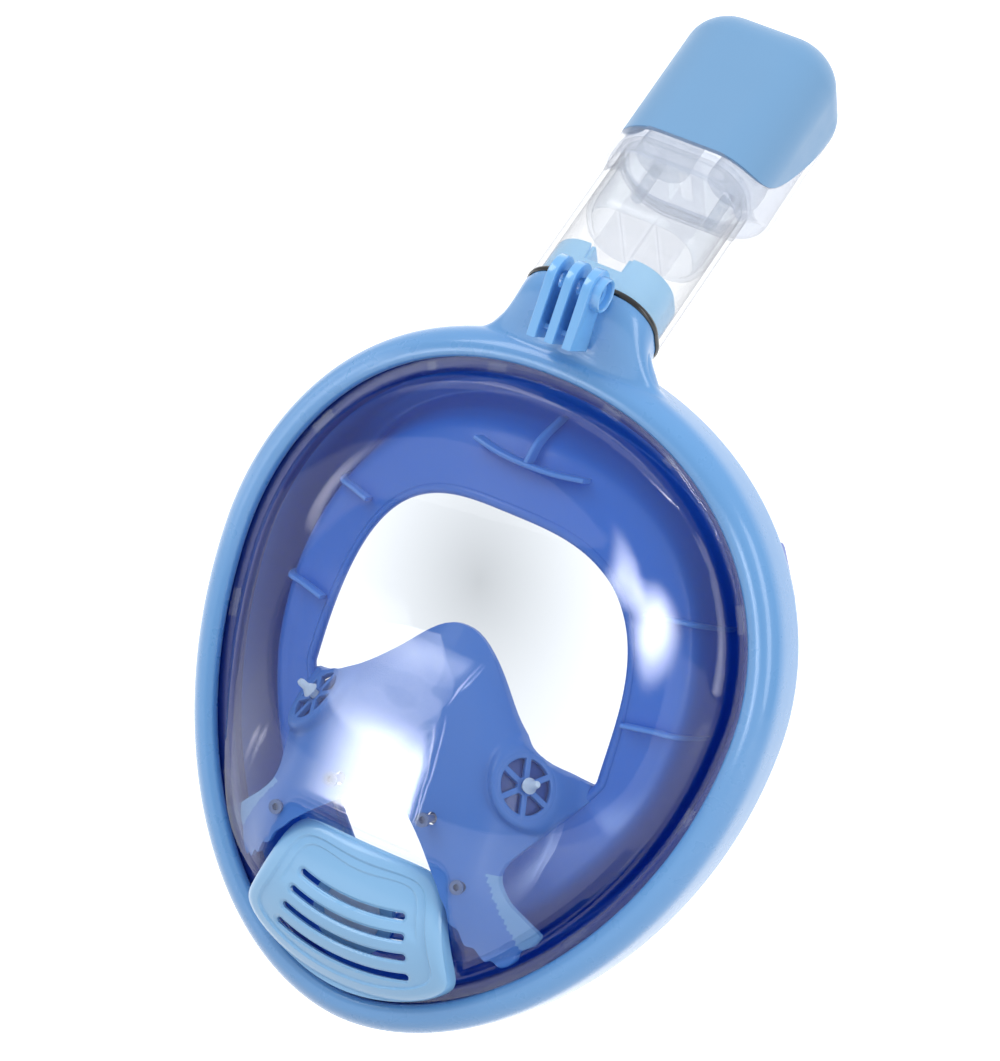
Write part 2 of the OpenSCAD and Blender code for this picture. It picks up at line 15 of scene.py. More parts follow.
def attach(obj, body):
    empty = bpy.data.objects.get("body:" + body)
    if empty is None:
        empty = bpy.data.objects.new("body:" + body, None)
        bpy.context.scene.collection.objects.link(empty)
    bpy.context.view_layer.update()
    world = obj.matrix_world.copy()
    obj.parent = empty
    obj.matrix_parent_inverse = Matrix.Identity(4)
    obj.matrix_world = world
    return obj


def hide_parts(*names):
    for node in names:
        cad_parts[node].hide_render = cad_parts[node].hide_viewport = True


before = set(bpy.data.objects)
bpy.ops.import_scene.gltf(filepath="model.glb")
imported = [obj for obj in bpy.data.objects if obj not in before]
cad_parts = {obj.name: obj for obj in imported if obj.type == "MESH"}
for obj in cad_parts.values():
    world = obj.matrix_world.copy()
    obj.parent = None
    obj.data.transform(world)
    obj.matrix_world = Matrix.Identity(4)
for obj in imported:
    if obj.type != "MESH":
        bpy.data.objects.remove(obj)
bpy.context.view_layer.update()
MM = 0.001


# -------- driving sizes (mm)
RING_HALF, RING_UP, RING_DOWN, RING_LEVEL, RING_SWEEP = 88.4, 85.0, 121.0, 8.0, 14.0
FACE_HALF, FACE_UP, FACE_DOWN, FACE_LEVEL = 53.0, 71.5, 68.0, -22.0
NOSE_BULGE, NOSE_LEVEL = 25.0, -46.0
RECESS_TOP, RECESS_SLOPE, RECESS_CURVE = -62.0, 0.26, 0.0045
VISOR_WALL, SKIRT_WALL, POCKET_WALL = 2.2, 2.0, 1.8
VISOR_FLANGE, SKIRT_FLANGE, REAR_FRAME = 3.9, 6.2, 7.5
VISOR_POLE = np.array([0.0, -12.0])
COVER_POLE = np.array([0.0, -86.0])
PORT_R, PURGE_LEVEL = 12.0, -84.0
SLOT_COUNT, SLOT_TOP, SLOT_PITCH, SLOT_HALF, SLOT_R, SAG_R = 4, -78.0, 6.35, 17.8, 1.15, 75.0
TUBE_W, TUBE_D, TUBE_R, TUBE_WALL = 46.0, 33.0, 14.0, 1.8
TUBE_BASE, TUBE_TOP = 2.05, 60.0
HEAD_W, HEAD_D, HEAD_Y, HEAD_TOP, HEAD_R = 53.0, 47.0, 7.0, 125.0, 17.0
CAP_LOW, CAP_SIDE, CAP_BACK, CROWN = 64.0, 76.0, 113.0, 15.0
CHANNEL_X = 6.5
FLOAT_X, FLOAT_W = 13.0, 6.0
LEAN = math.radians(40)
GASKET = np.array([0.0, 3.9, 113.0])
AXIS_T = np.array([0.0, math.sin(LEAN), math.cos(LEAN)])
AXIS_B = np.array([0.0, math.cos(LEAN), -math.sin(LEAN)])
INHALE_CENTRE = np.array([37.5, -15.2, -27.6])
INHALE_NORMAL = np.array([0.69, -0.58, 0.43]) / np.linalg.norm([0.69, -0.58, 0.43])
PIN_PLACES = [(16.5, -45.7), (32.7, -61.8)]
LUG_ANGLES = (32, 148, -38, -142)
TABS = [(76, 2.2), (104, 2.2), (60, 1.2), (120, 1.2), (150, 3), (24, 3), (-20, 3), (-165, 3), (-50, 2.5),
        (-130, 2.5)]
STATIONS = 360


# -------- shape rules
def turn(n):
    return np.linspace(0, 2 * math.pi, n, endpoint=False)


ANGLES = turn(STATIONS)


def sigmoid(v, w):
    return 1 / (1 + np.exp(-np.clip(v / w, -60, 60)))


def ease(f):
    g = np.clip(f, 0, 1)
    return g * g * (3 - 2 * g)


def fade(f, rise, fall):
    """1 over the middle of 0 to 1, easing up within rise of 0 and down within fall of 1."""
    return ease(f / rise) * ease((1 - f) / fall)


def mix(a, b, f):
    return a + (b - a) * f


def unit(v):
    return v / np.linalg.norm(v, axis=-1, keepdims=True)


def rim_y(x):
    return -8 + RING_SWEEP * (x / 88) ** 2


def egg(t, half, up, down, n, level):
    """Superellipse of power n, with its own height above and below its level: (x, z) at angle t."""
    c = np.abs(np.cos(t)) / half
    s = np.abs(np.sin(t)) / np.where(np.sin(t) >= 0, up, down)
    r = (c ** n + s ** n) ** (-1 / n)
    return np.stack([r * np.cos(t), level + r * np.sin(t)], -1)


def oval(t):
    """The ring's opening."""
    return egg(t, RING_HALF, RING_UP, RING_DOWN, 1.99 + 0.11 * np.sin(t), RING_LEVEL)


def opening(t):
    """The skirt's opening for the face, which narrows below the eyes."""
    return egg(t, FACE_HALF, FACE_UP, FACE_DOWN, np.where(np.sin(t) >= 0, 3, 1.15), FACE_LEVEL)


def oval_out(t):
    d = unit(oval(t + 0.009) - oval(t - 0.009))
    return np.stack([d[..., 1], -d[..., 0]], -1)


def recess_y(x, z):
    """Front of the flat recess that the purge cover sits in."""
    return -25 - RECESS_SLOPE * (z - RECESS_TOP) + RECESS_CURVE * x * x


def visor_y(x, z):
    """Front surface of the visor."""
    v = z - NOSE_LEVEL
    high, low = np.exp(-(v / 44) ** 2), np.exp(-(v / 40) ** 4)
    bulge = NOSE_BULGE * np.exp(-(x / 58) ** 4) * np.where(v > 0, high, low)
    inside = sigmoid(28.5 - 0.24 * (z - RECESS_TOP) - np.abs(x), 1) * sigmoid(-58.5 - z, 1.2)
    return mix(rim_y(x) - 5 - bulge, recess_y(x, z), inside)


def pocket_y(x, z):
    """Front surface of the nose pocket: a ridge that runs forward going down, with steep sides."""
    high = -30.5 + 19.6 * (np.maximum(z + 62, 0) / 73) ** 1.32
    ridge = np.where(z > -62, high, -30.5 + 0.0165 * (z + 62) ** 2)
    half = 33.5 - 24.5 * sigmoid(z + 10, 7)
    slope = mix(1.5, 1.15, ease((-50 - z) / 15))
    return ridge + slope * 3 * np.log1p(np.exp((np.abs(x) - half) / 3))


def cover_y(x, z):
    return -31 + 0.0155 * (z + 76) ** 2 + RECESS_CURVE * x * x


def split_s(w):
    """Level of the cap's lower edge at depth w."""
    f = np.maximum(0, w - (HEAD_Y - HEAD_D / 2)) / (HEAD_D / 2 - 2)
    return np.minimum(CAP_BACK, CAP_LOW + (CAP_SIDE - CAP_LOW) * f ** 2.66)


def snorkel_point(x, s, w):
    x, s, w = np.broadcast_arrays(x, s, w)
    return GASKET + x[..., None] * np.array([1.0, 0, 0]) + s[..., None] * AXIS_T + w[..., None] * AXIS_B


def section(outline, s):
    """Ring over an outline of (x, w) at level s of the snorkel."""
    return snorkel_point(outline[:, 0], s, outline[:, 1])


def circle(r, n=64, centre=(0, 0)):
    return np.stack([centre[0] + r * np.cos(turn(n)), centre[1] + r * np.sin(turn(n))], -1)


def rounded_rect(w, d, r, n=192):
    """Outline of a w by d rectangle with corners of radius r: n points, half of them on the corners."""
    on_arc = n // 8
    on_side = n // 4 - on_arc
    arcs = []
    for q, (right, up) in enumerate([(1, 1), (-1, 1), (-1, -1), (1, -1)]):
        a = np.radians(90 * q + np.linspace(0, 90, on_arc))
        arcs.append(np.stack([(w / 2 - r) * right + r * np.cos(a), (d / 2 - r) * up + r * np.sin(a)], -1))
    share = np.linspace(0, 1, on_side + 2)[1:-1, None]
    out = []
    for arc, following in zip(arcs, arcs[1:] + arcs[:1]):
        out += [arc, mix(arc[-1], following[0], share)]
    return np.vstack(out)


def tube_line(inset):
    """Outline of the tube, (x, w), moved in by inset."""
    return rounded_rect(TUBE_W - 2 * inset, TUBE_D - 2 * inset, TUBE_R - inset)


def head_line(inset, n=240):
    """Outline of the head, (x, w), moved in by inset."""
    return rounded_rect(HEAD_W - 2 * inset, HEAD_D - 2 * inset, max(HEAD_R - inset, 0.05), n) + [0, HEAD_Y]


def spline(points, per=6):
    """Smooth curve through the points, per steps between neighbours."""
    p = np.asarray(points, float)
    p = np.vstack([2 * p[0] - p[1], p, 2 * p[-1] - p[-2]])
    u = np.linspace(0, 1, per, endpoint=False)[:, None]
    runs = []
    for a, b, c, d in zip(p[:-3], p[1:-2], p[2:-1], p[3:]):
        square, cube = 2 * a - 5 * b + 4 * c - d, 3 * b - a - 3 * c + d
        runs.append(0.5 * (2 * b + (c - a) * u + square * u ** 2 + cube * u ** 3))
    return np.vstack(runs + [p[-2][None]])


def path_normals(p):
    """Unit normals of open paths, to the left of their direction; p is (..., points, 2)."""
    d = unit(np.gradient(p, axis=-2))
    return np.stack([-d[..., 1], d[..., 0]], -1)


def thicken(p, t):
    """Closed outline of a wall of thickness t about each path, with round ends."""
    n = path_normals(p)

    def end(k, sign):
        at, across = p[..., k, None, :], n[..., k, None, :] * sign
        onward = np.stack([across[..., 1], -across[..., 0]], -1)
        turns = (0.6, 1.2, 1.95, 2.55)
        return [at + (across * math.cos(a) + onward * math.sin(a)) * t / 2 for a in turns]

    there, back = p + n * t / 2, p - n * t / 2
    return np.concatenate([there, *end(-1, 1), back[..., ::-1, :], *end(0, -1)], -2)


# -------- places
def moved(points, place):
    m = np.array(place, float)
    return np.asarray(points, float) @ m[:3, :3].T + m[:3, 3]


def place_at(origin, z_axis, x_axis):
    """4x4 matrix with the given origin, Z axis and rough X axis."""
    z = unit(np.asarray(z_axis, float))
    x = unit(np.asarray(x_axis, float) - np.dot(x_axis, z) * z)
    m = np.eye(4)
    m[:3, 0], m[:3, 1], m[:3, 2], m[:3, 3] = x, np.cross(z, x), z, origin
    return m


def snorkel_place(x, s, w):
    return place_at(snorkel_point(x, s, w), AXIS_T, [1, 0, 0])


def seat_at(side):
    """Place of an inhale valve's seat: side is 1 for the left one, -1 for the right."""
    return np.diag([side, 1, 1, 1.0]) @ place_at(INHALE_CENTRE, INHALE_NORMAL, [0, 0, 1])


# Local XY seen from the front: x and z, with local Z going back
FRONT_VIEW = np.array([[1, 0, 0, 0], [0, 0, 1, 0], [0, 1, 0, 0], [0, 0, 0, 1.0]])
PURGE_TILT = math.atan(RECESS_SLOPE)
PURGE_OUT = [0, -math.cos(PURGE_TILT), -math.sin(PURGE_TILT)]
PURGE_PLACE = place_at([0, recess_y(0, PURGE_LEVEL), PURGE_LEVEL], PURGE_OUT, [1, 0, 0])


# -------- meshes
def linked(obj):
    bpy.context.scene.collection.objects.link(obj)
    return obj


def grid_faces(n, m, wrap_n=True, wrap_m=True):
    i = np.arange(n if wrap_n else n - 1)[:, None]
    j = np.arange(m if wrap_m else m - 1)[None, :]
    i2, j2 = (i + 1) % n, (j + 1) % m
    quads = np.stack(np.broadcast_arrays(i * m + j, i * m + j2, i2 * m + j2, i2 * m + j), -1)
    return quads.reshape(-1, 4).tolist()


def new_object(name, verts, faces, material=None, closed=True):
    mesh = bpy.data.meshes.new(name)
    mesh.from_pydata((np.asarray(verts, float) * MM).tolist(), [], faces)
    if closed:
        bm = bmesh.new()
        bm.from_mesh(mesh)
        bmesh.ops.remove_doubles(bm, verts=bm.verts, dist=1e-6)
        bmesh.ops.dissolve_degenerate(bm, dist=1e-7, edges=bm.edges)
        bmesh.ops.recalc_face_normals(bm, faces=bm.faces)
        bm.to_mesh(mesh)
        bm.free()
    if material:
        mesh.materials.append(material)
    return linked(bpy.data.objects.new(name, mesh))


def smooth(obj, angle=38):
    mesh = obj.data
    mesh.polygons.foreach_set("use_smooth", [True] * len(mesh.polygons))
    mesh.set_sharp_from_angle(angle=math.radians(angle))


def paint(obj, *materials):
    obj.data.materials.clear()
    for material in materials:
        obj.data.materials.append(material)


def loft(name, rings, material=None, wrap_n=True, caps=False):
    """Surface through closed rings, an array (rings, points, 3); caps closes both ends."""
    n, m = rings.shape[:2]
    faces = grid_faces(n, m, wrap_n, True)
    if caps:
        faces.append(list(range(m)))
        faces.append(list(range((n - 1) * m, n * m)))
    return new_object(name, rings.reshape(-1, 3), faces, material)


def swept(start, way, outline):
    """Points of an outline of (distance along way, y) at each station; start and way are (x, z)."""
    x, z = (start[:, k, None] + way[:, k, None] * outline[..., 0] for k in (0, 1))
    return np.stack([x, outline[..., 1], z], -1)


def spokes(p, pole, first, shares):
    """Lines from an outline to a pole: directions, distances at shares of the way, and x and z there."""
    length = np.linalg.norm(pole - p, axis=1, keepdims=True)
    d = (pole - p) / length
    dist = mix(first, length, shares[None])
    return d, dist, p[:, :1] + d[:, :1] * dist, p[:, 1:] + d[:, 1:] * dist


def around_oval(outline, t):
    """Rings at angles t of the oval over an outline of (distance outside the opening, y behind the lip)."""
    p = oval(t)
    o = np.broadcast_to(outline, (len(t),) + outline.shape)
    return swept(p, oval_out(t), np.stack([o[..., 0], rim_y(p[:, :1]) + o[..., 1]], -1))


def polar_dish(name, walls, material=None):
    """Closed dish from wall outlines (stations, points, 3) whose two ends meet at two poles."""
    n, m = walls.shape[:2]
    verts = np.vstack([walls.reshape(-1, 3), walls[:, 0].mean(0), walls[:, -1].mean(0)])
    faces = grid_faces(n, m, True, False)
    for i in range(n):
        j = (i + 1) % n
        faces.append([n * m, j * m, i * m])
        faces.append([n * m + 1, i * m + m - 1, j * m + m - 1])
    return new_object(name, verts, faces, material)


def lathe(name, profile, place, material=None, n=64):
    """Turned solid about local Z from a profile of (radius, height)."""
    r, h = np.asarray(profile, float).T
    ring = np.stack([np.outer(np.cos(turn(n)), r), np.outer(np.sin(turn(n)), r), np.tile(h, (n, 1))], -1)
    return new_object(name, moved(ring.reshape(-1, 3), place), grid_faces(n, len(r), True, True), material)


def prism(name, outline, place, low, high):
    """Straight prism over an outline in local XY, from local Z low to high."""
    o = np.asarray(outline, float)
    rings = np.stack([np.c_[o, np.full(len(o), z)] for z in (low, high)])
    return loft(name, moved(rings.reshape(-1, 3), place).reshape(rings.shape), wrap_n=False, caps=True)


def final_mesh(obj):
    bpy.context.view_layer.update()
    return bpy.data.meshes.new_from_object(obj.evaluated_get(bpy.context.evaluated_depsgraph_get()))


def plate(name, outer, holes, thickness, bevel, place, material=None):
    """Flat piece with holes and rounded edges, in local XY, its mid plane at local Z = 0."""
    curve = bpy.data.curves.new(name, "CURVE")
    curve.dimensions = "2D"
    curve.fill_mode = "BOTH"
    for loop in [outer] + list(holes):
        s = curve.splines.new("POLY")
        s.points.add(len(loop) - 1)
        points = np.c_[np.asarray(loop) * MM, np.zeros(len(loop)), np.ones(len(loop))]
        s.points.foreach_set("co", points.ravel())
        s.use_cyclic_u = True
    curve.extrude = (thickness / 2 - bevel) * MM
    curve.bevel_depth = bevel * MM
    curve.bevel_resolution = 2
    curve.offset = -bevel * MM
    temp = linked(bpy.data.objects.new(name, curve))
    mesh = final_mesh(temp)
    bpy.data.objects.remove(temp)
    verts = moved(np.array([v.co for v in mesh.vertices]) / MM, place)
    faces = [list(f.vertices) for f in mesh.polygons]
    bpy.data.meshes.remove(mesh)
    return new_object(name, verts, faces, material)


def boolean(obj, other, operation="DIFFERENCE"):
    mod = obj.modifiers.new("cut", "BOOLEAN")
    mod.operation = operation
    mod.solver = "EXACT"
    mod.object = other
    mesh = final_mesh(obj)
    obj.modifiers.clear()
    obj.data = mesh
    bpy.data.objects.remove(other)


def join(name, parts):
    """One object from several, keeping each face's material."""
    bm = bmesh.new()
    materials = []
    for part in parts:
        materials += [m for m in part.data.materials if m not in materials]
        slots = [materials.index(m) for m in part.data.materials]
        start = len(bm.faces)
        bm.from_mesh(part.data)
        bm.faces.ensure_lookup_table()
        for f in bm.faces[start:]:
            f.material_index = slots[f.material_index]
        bpy.data.objects.remove(part)
    mesh = bpy.data.meshes.new(name)
    bm.to_mesh(mesh)
    bm.free()
    for m in materials:
        mesh.materials.append(m)
    return linked(bpy.data.objects.new(name, mesh))


def put(obj, node, body="mask", angle=38):
    """Finishes a piece: smooth shading, parenting to its body, and hiding the CAD node it stands for."""
    smooth(obj, angle)
    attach(obj, body)
    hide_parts(node)


# -------- materials
def linear(rgb):
    c = np.array(rgb) / 255
    return np.where(c <= 0.04045, c / 12.92, ((c + 0.055) / 1.055) ** 2.4)


def add(tree, kind, inputs, **settings):
    """New node. Its inputs are values, outputs of other nodes, or nodes, for their first output."""
    node = tree.nodes.new("ShaderNode" + kind)
    for name, value in settings.items():
        setattr(node, name, value)
    for socket, value in inputs.items():
        if isinstance(value, bpy.types.Node):
            value = next(out for out in value.outputs if not out.is_unavailable)
        if isinstance(value, bpy.types.NodeSocket):
            tree.links.new(value, node.inputs[socket])
        else:
            node.inputs[socket].default_value = value
    return node


def new_material(name):
    m = bpy.data.materials.new(name)
    m.use_nodes = True
    m.node_tree.nodes.clear()
    return m, m.node_tree


def ranged(tree, value, low, high, start=0.3, end=0.7):
    """Maps value from start..end to low..high."""
    ends = {"From Min": start, "From Max": end, "To Min": low, "To Max": high}
    return add(tree, "MapRange", {"Value": value, **ends})


def noise(tree, scale, detail=3):
    coords = add(tree, "TexCoord", {}).outputs["Object"]
    return add(tree, "TexNoise", {"Scale": scale, "Detail": detail, "Vector": coords})


def varied_colour(tree, rgb, spread):
    """Colour that drifts slowly over the moulding, by spread either way."""
    dark, light = ((*np.clip(linear(rgb) * k, 0, 1), 1) for k in (1 - spread, 1 + spread))
    return add(tree, "Mix", {"Factor": noise(tree, 22, 2), "A": dark, "B": light}, data_type="RGBA")


def bump(tree, scale, distance):
    return add(tree, "Bump", {"Distance": distance, "Height": noise(tree, scale, 4)})


def moulded(name, rgb, rough=(0.24, 0.3), spread=0.025, grain=6e-6, soft=0.0, coat=0.4, glow=0.0):
    """Moulded plastic or silicone: soft is the share of light it passes, glow a faint emission, painted light
    that brightens the piece as if it were better lit.
    """
    m, tree = new_material(name)
    colour = varied_colour(tree, rgb, spread)
    # A faint emission in the piece's own colour: painted light, not a lamp
    painted_light = {"Emission Color": colour, "Emission Strength": glow} if glow else {}
    surface = add(tree, "BsdfPrincipled", {
        "Base Color": colour, "Roughness": ranged(tree, noise(tree, 140), *rough),
        "Normal": bump(tree, 1600, grain), "Coat Weight": coat, "Coat Roughness": 0.08, **painted_light})
    if soft:
        passed = add(tree, "BsdfTranslucent", {"Color": colour})
        surface = add(tree, "MixShader", {"Fac": soft, 1: surface, 2: passed})
    add(tree, "OutputMaterial", {"Surface": surface})
    return m


def see_through(name, tint, rough=0.03, base=0.045, edge=0.6, haze=0.0, haze_rgb=(235, 240, 248), rim=0.8):
    """Thin clear wall. The share it mirrors goes from base face on to edge at a glancing view, where
    the light it lets through falls to rim; haze is the share of milk in it."""
    m, tree = new_material(name)
    normal = bump(tree, 40, 3e-5)
    facing = add(tree, "LayerWeight", {"Blend": 0.5, "Normal": normal}).outputs["Facing"]
    glancing = add(tree, "Math", {0: facing, 1: 4.0}, operation="POWER")
    colour = add(tree, "Mix", {
        "Factor": glancing, "A": varied_colour(tree, tint, 0.012), "B": (rim, rim, rim * 1.03, 1)},
        data_type="RGBA")
    surface = add(tree, "BsdfTransparent", {"Color": colour})
    if haze:
        milk = add(tree, "BsdfDiffuse", {"Color": (*linear(haze_rgb), 1)})
        surface = add(tree, "MixShader", {"Fac": haze, 1: surface, 2: milk})
    roughness = ranged(tree, noise(tree, 60), rough * 0.7, rough * 1.3)
    gloss = add(tree, "BsdfGlossy", {"Roughness": roughness, "Normal": normal})
    share = ranged(tree, glancing, base, edge, 0, 1)
    add(tree, "OutputMaterial", {"Surface": add(tree, "MixShader", {"Fac": share, 1: surface, 2: gloss})})
    return m


RING_BLUE = moulded("ring_blue_plastic", (98, 156, 212), (0.26, 0.31), coat=0.5)
CAP_BLUE = moulded("cap_blue_plastic", (112, 158, 199), (0.36, 0.44), coat=0.15)
COVER_BLUE = moulded("cover_blue_plastic", (134, 186, 228), (0.28, 0.34), coat=0.5)
MOUNT_BLUE = moulded("mount_blue_plastic", (112, 178, 236), (0.18, 0.24), coat=0.8)
DEEP_BLUE = moulded("frame_deep_blue_plastic", (30, 84, 190), (0.3, 0.38))
SKIRT = moulded("skirt_silicone_soft", (38, 112, 212), (0.34, 0.42), soft=0.25, grain=1e-5, coat=0.15)
# Dark navy on the skirt by the flange: painted shade of the deep valley between ring and visor, on the skirt's
# own silicone
SKIRT_PAINTED_SHADE = moulded("skirt_flange_painted_shade_silicone_soft", (16, 48, 146), (0.3, 0.4), soft=0.1, grain=1e-5)
# Lighter blue for the ribs: painted highlight of the light on their front edges; they are the skirt's own
# silicone
RIB_PAINTED_HIGHLIGHT = moulded("rib_silicone_painted_highlight_soft", (84, 146, 228), (0.34, 0.42), soft=0.25, grain=1e-5)
POCKET = moulded("pocket_silicone_soft", (62, 122, 206), (0.4, 0.48), soft=0.2, grain=1e-5, coat=0.1)
WING = moulded("wing_silicone_soft", (126, 176, 226), (0.38, 0.46), soft=0.3, grain=1e-5, coat=0.1)
MILKY = moulded("valve_silicone_milky", (212, 226, 242), (0.25, 0.35), soft=0.35)
POST = moulded("post_milky_plastic", (92, 118, 172), (0.2, 0.3), soft=0.3)
# The connector's glow is painted light that brightens it as if better lit inside the tube
CYAN = moulded("connector_cyan_plastic", (170, 218, 244), (0.2, 0.28), soft=0.3, glow=0.22)
RUBBER = moulded("gasket_black_rubber", (6, 6, 7), (0.22, 0.3), spread=0.2, coat=0.25)
# The glow is painted light that brightens the seat plate as if better lit inside the head
PALE = moulded("float_pale_plastic", (218, 230, 246), (0.3, 0.38), soft=0.3, glow=0.12)
# Dark blue for the inhale valves' discs: painted shade of the dark interior seen through the seat's windows
FLAP_PAINTED_SHADE = moulded("flap_silicone_painted_shade_blue", (34, 74, 160), (0.34, 0.42), soft=0.2, grain=1e-5)
VISOR = see_through("visor_clear_plastic", (250, 252, 254), 0.02, 0.032, 0.4, rim=0.94)
TUBE = see_through("tube_clear_plastic", (250, 250, 250), 0.06, 0.03, 0.3, 0.05, (236, 236, 238), 0.62)
WEB = see_through("divider_clear_plastic", (253, 253, 254), 0.06, 0.02, 0.3, 0.015, rim=0.85)
CUP = see_through("cup_clear_plastic", (252, 253, 255), 0.06, 0.04, 0.45, 0.04, (225, 234, 248))
FLOAT = see_through("float_clear_plastic", (252, 253, 255), 0.08, 0.05, 0.5, 0.14, (236, 243, 252), 0.88)
HOUSING = see_through("housing_clear_plastic", (250, 251, 253), 0.06, 0.04, 0.5, 0.08, (222, 228, 240))


# -------- front frame
LIP = [[0, 0.9], [0.25, -0.35], [1.1, -1.2], [3, -1.6], [5.5, -0.9], [8, 1.4], [9.6, 5], [10, 12], [10, 19]]
OUTER_RUN = spline(LIP, 6)
BACK_RUN = np.array([[9.8, 19.7], [9.4, 20], [7.8, 20], [7.4, 19.6], [7.4, 2.6], [0.5, 2.6], [0.1, 2.2]])


def ring_surface(t, q):
    """Point of the ring's outer run at oval angle t and length q along the run."""
    run = np.vstack([OUTER_RUN, BACK_RUN[:3]])
    step = np.r_[0, np.cumsum(np.linalg.norm(np.diff(run, axis=0), axis=1))]
    d, y = (np.interp(q, step, run[:, k]) for k in (0, 1))
    p, n = oval(t), oval_out(t)
    return np.stack([p[..., 0] + n[..., 0] * d, rim_y(p[..., 0]) + y, p[..., 1] + n[..., 1] * d], -1)


def neck():
    """Neck lofted from the snorkel's seat down to the ring, tangent to both."""
    seat_s, foot_angle, foot_q, foot_spread = -1.65, 0.36, 18.2, 10.6
    top = tube_line(0)
    start = section(top, seat_s)
    a = np.arctan2(top[:, 1] / TUBE_D, top[:, 0] / TUBE_W)

    def foot(grow):
        q = foot_q + (foot_spread + grow) * np.sin(a)
        return ring_surface(math.pi / 2 - (foot_angle + grow * 0.05) * np.cos(a), np.clip(q, 3.0, 30.0))

    end = foot(0)
    leave = unit(foot(1) - foot(-1))
    reach = np.linalg.norm(end - start, axis=1, keepdims=True)
    v = np.linspace(0, 1, 28)[:, None, None]
    h0, h1 = 2 * v ** 3 - 3 * v ** 2 + 1, v ** 3 - 2 * v ** 2 + v
    h2, h3 = -2 * v ** 3 + 3 * v ** 2, v ** 3 - v ** 2
    outer = h0 * start + h1 * (-AXIS_T * reach * 1.1) + h2 * end + h3 * (leave * reach * 0.85)
    inside = section(tube_line(2), seat_s)
    sunk = end + (np.array([0, 4, 97]) - end) * 0.06
    low = inside * 0.5 + sunk * 0.5
    return loft("neck", np.concatenate([outer, sunk[None], low[None], inside[None]]), RING_BLUE)


def front_frame():
    ring = loft("ring", around_oval(np.vstack([OUTER_RUN, BACK_RUN]), ANGLES), RING_BLUE)
    put(join("front_ring", [ring, neck()]), "front_frame", angle=50)


# -------- rear frame and strap lugs
def rear_frame():
    profile = spline([[7.1, 8.2], [7.1, 18.9], [6.6, 19.5], [5.2, 19.5], [4.7, 19], [4.6, 11.2], [4, 10.5],
                      [-0.5, 10.5], [-1, 10], [-1, 8], [-0.5, REAR_FRAME], [6.6, REAR_FRAME]], 3)
    parts = [loft("rear_band", around_oval(profile, ANGLES), DEEP_BLUE)]
    outer = np.array([0, 6.5]) + rounded_rect(20, 13, 2.5, 64)
    slot = np.array([0, 8.2]) + rounded_rect(13, 3.5, 1.6, 48)
    root_out, root_back = 5.35, 17
    for t in np.radians(LUG_ANGLES):
        p, n = oval(t), oval_out(t)
        origin = [p[0] + n[0] * root_out, rim_y(p[0]) + root_back, p[1] + n[1] * root_out]
        along = np.array([-n[1], 0, n[0]])
        place = place_at(origin, np.cross(along, [0, 1, 0]), along)
        parts.append(plate("lug", outer, [slot], 2.3, 0.5, place, DEEP_BLUE))
    put(join("rear_ring", parts), "rear_frame")


# -------- visor
def visor():
    p = oval(ANGLES)
    f = np.linspace(0, 0.96, 60)
    d, s, x, z = spokes(p, VISOR_POLE, 9.5, f)
    dome = np.stack([s, visor_y(x, z) + VISOR_WALL / 2 + 1.6 * (1 - f) ** 12], -1)
    rim = spline([[-6.1, VISOR_FLANGE], [-2, VISOR_FLANGE], [2.8, VISOR_FLANGE], [4.3, 3.4], [5.2, 2.0],
                  [5.8, 0], [6.4, -1.8], [7.6, -3.1]], 4)
    rim = np.stack([np.broadcast_to(rim[:, 0], (STATIONS, len(rim))), rim_y(p[:, :1]) + rim[:, 1]], -1)
    path = np.concatenate([rim, dome], 1)
    # The wall's outline, open at the pole and turned so that it starts and ends there
    wall = np.roll(thicken(path, VISOR_WALL), -path.shape[1] - 4, axis=1)[:, :-4]
    dish = polar_dish("visor_shell", swept(p, d, wall), VISOR)
    boolean(dish, prism("port", circle(PORT_R, 96), PURGE_PLACE, -12, 8))
    parts = [dish]
    tab = np.array([[-3.6, 1.4], [-0.9, 1.4], [-0.9, 2.9], [-3.6, 2.9]])
    for centre, half in TABS:
        t = np.radians(np.linspace(centre - half, centre + half, 10))
        parts.append(loft("tab", around_oval(tab, t), VISOR, wrap_n=False, caps=True))
    put(join("visor_window", parts), "visor_lens", angle=30)


# -------- skirt
def skirt_paths():
    """Middle line of the skirt's wall at each station: from the flange, round the fold, to the face."""
    p = oval(ANGLES)
    e = opening(np.arctan2((p[:, 1] - FACE_LEVEL) * 0.8, p[:, 0]))
    length = np.linalg.norm(e - p, axis=1)
    d = (e - p) / length[:, None]
    y0 = rim_y(p[:, 0])
    ye = -5.8 + 12 * (e[:, 0] / 52) ** 2 + np.where(e[:, 1] < 0, 20 * (e[:, 1] / 95) ** 2, 0)
    s = np.sin(np.arctan2(p[:, 1] - RING_LEVEL, p[:, 0]))
    fold = np.where(s > 0, mix(36, 15, ease(s)), mix(36, 30, ease(-s)))
    deep = y0 + 9 + fold
    inward = [-6.1, 1.5, 3.2, 3.8, 5, 7.5]
    across = [0.1, 0.2, 0.3, 0.42, 0.62, 0.82, 1]
    dist = [np.full(STATIONS, k) for k in inward] + [mix(7.5, length, k) for k in across]
    back = [y0 + SKIRT_FLANGE, y0 + SKIRT_FLANGE, y0 + 8.2, y0 + 13, mix(y0 + 13, deep, 0.6), deep - 2.5, deep,
            deep - 3, mix(deep, ye + 5, 0.55), ye + 6.5, ye + 3.5, ye + 1.6, ye]
    knots = np.stack([dist, back], -1).transpose(1, 0, 2)
    return p, d, np.stack([spline(k, 5) for k in knots])


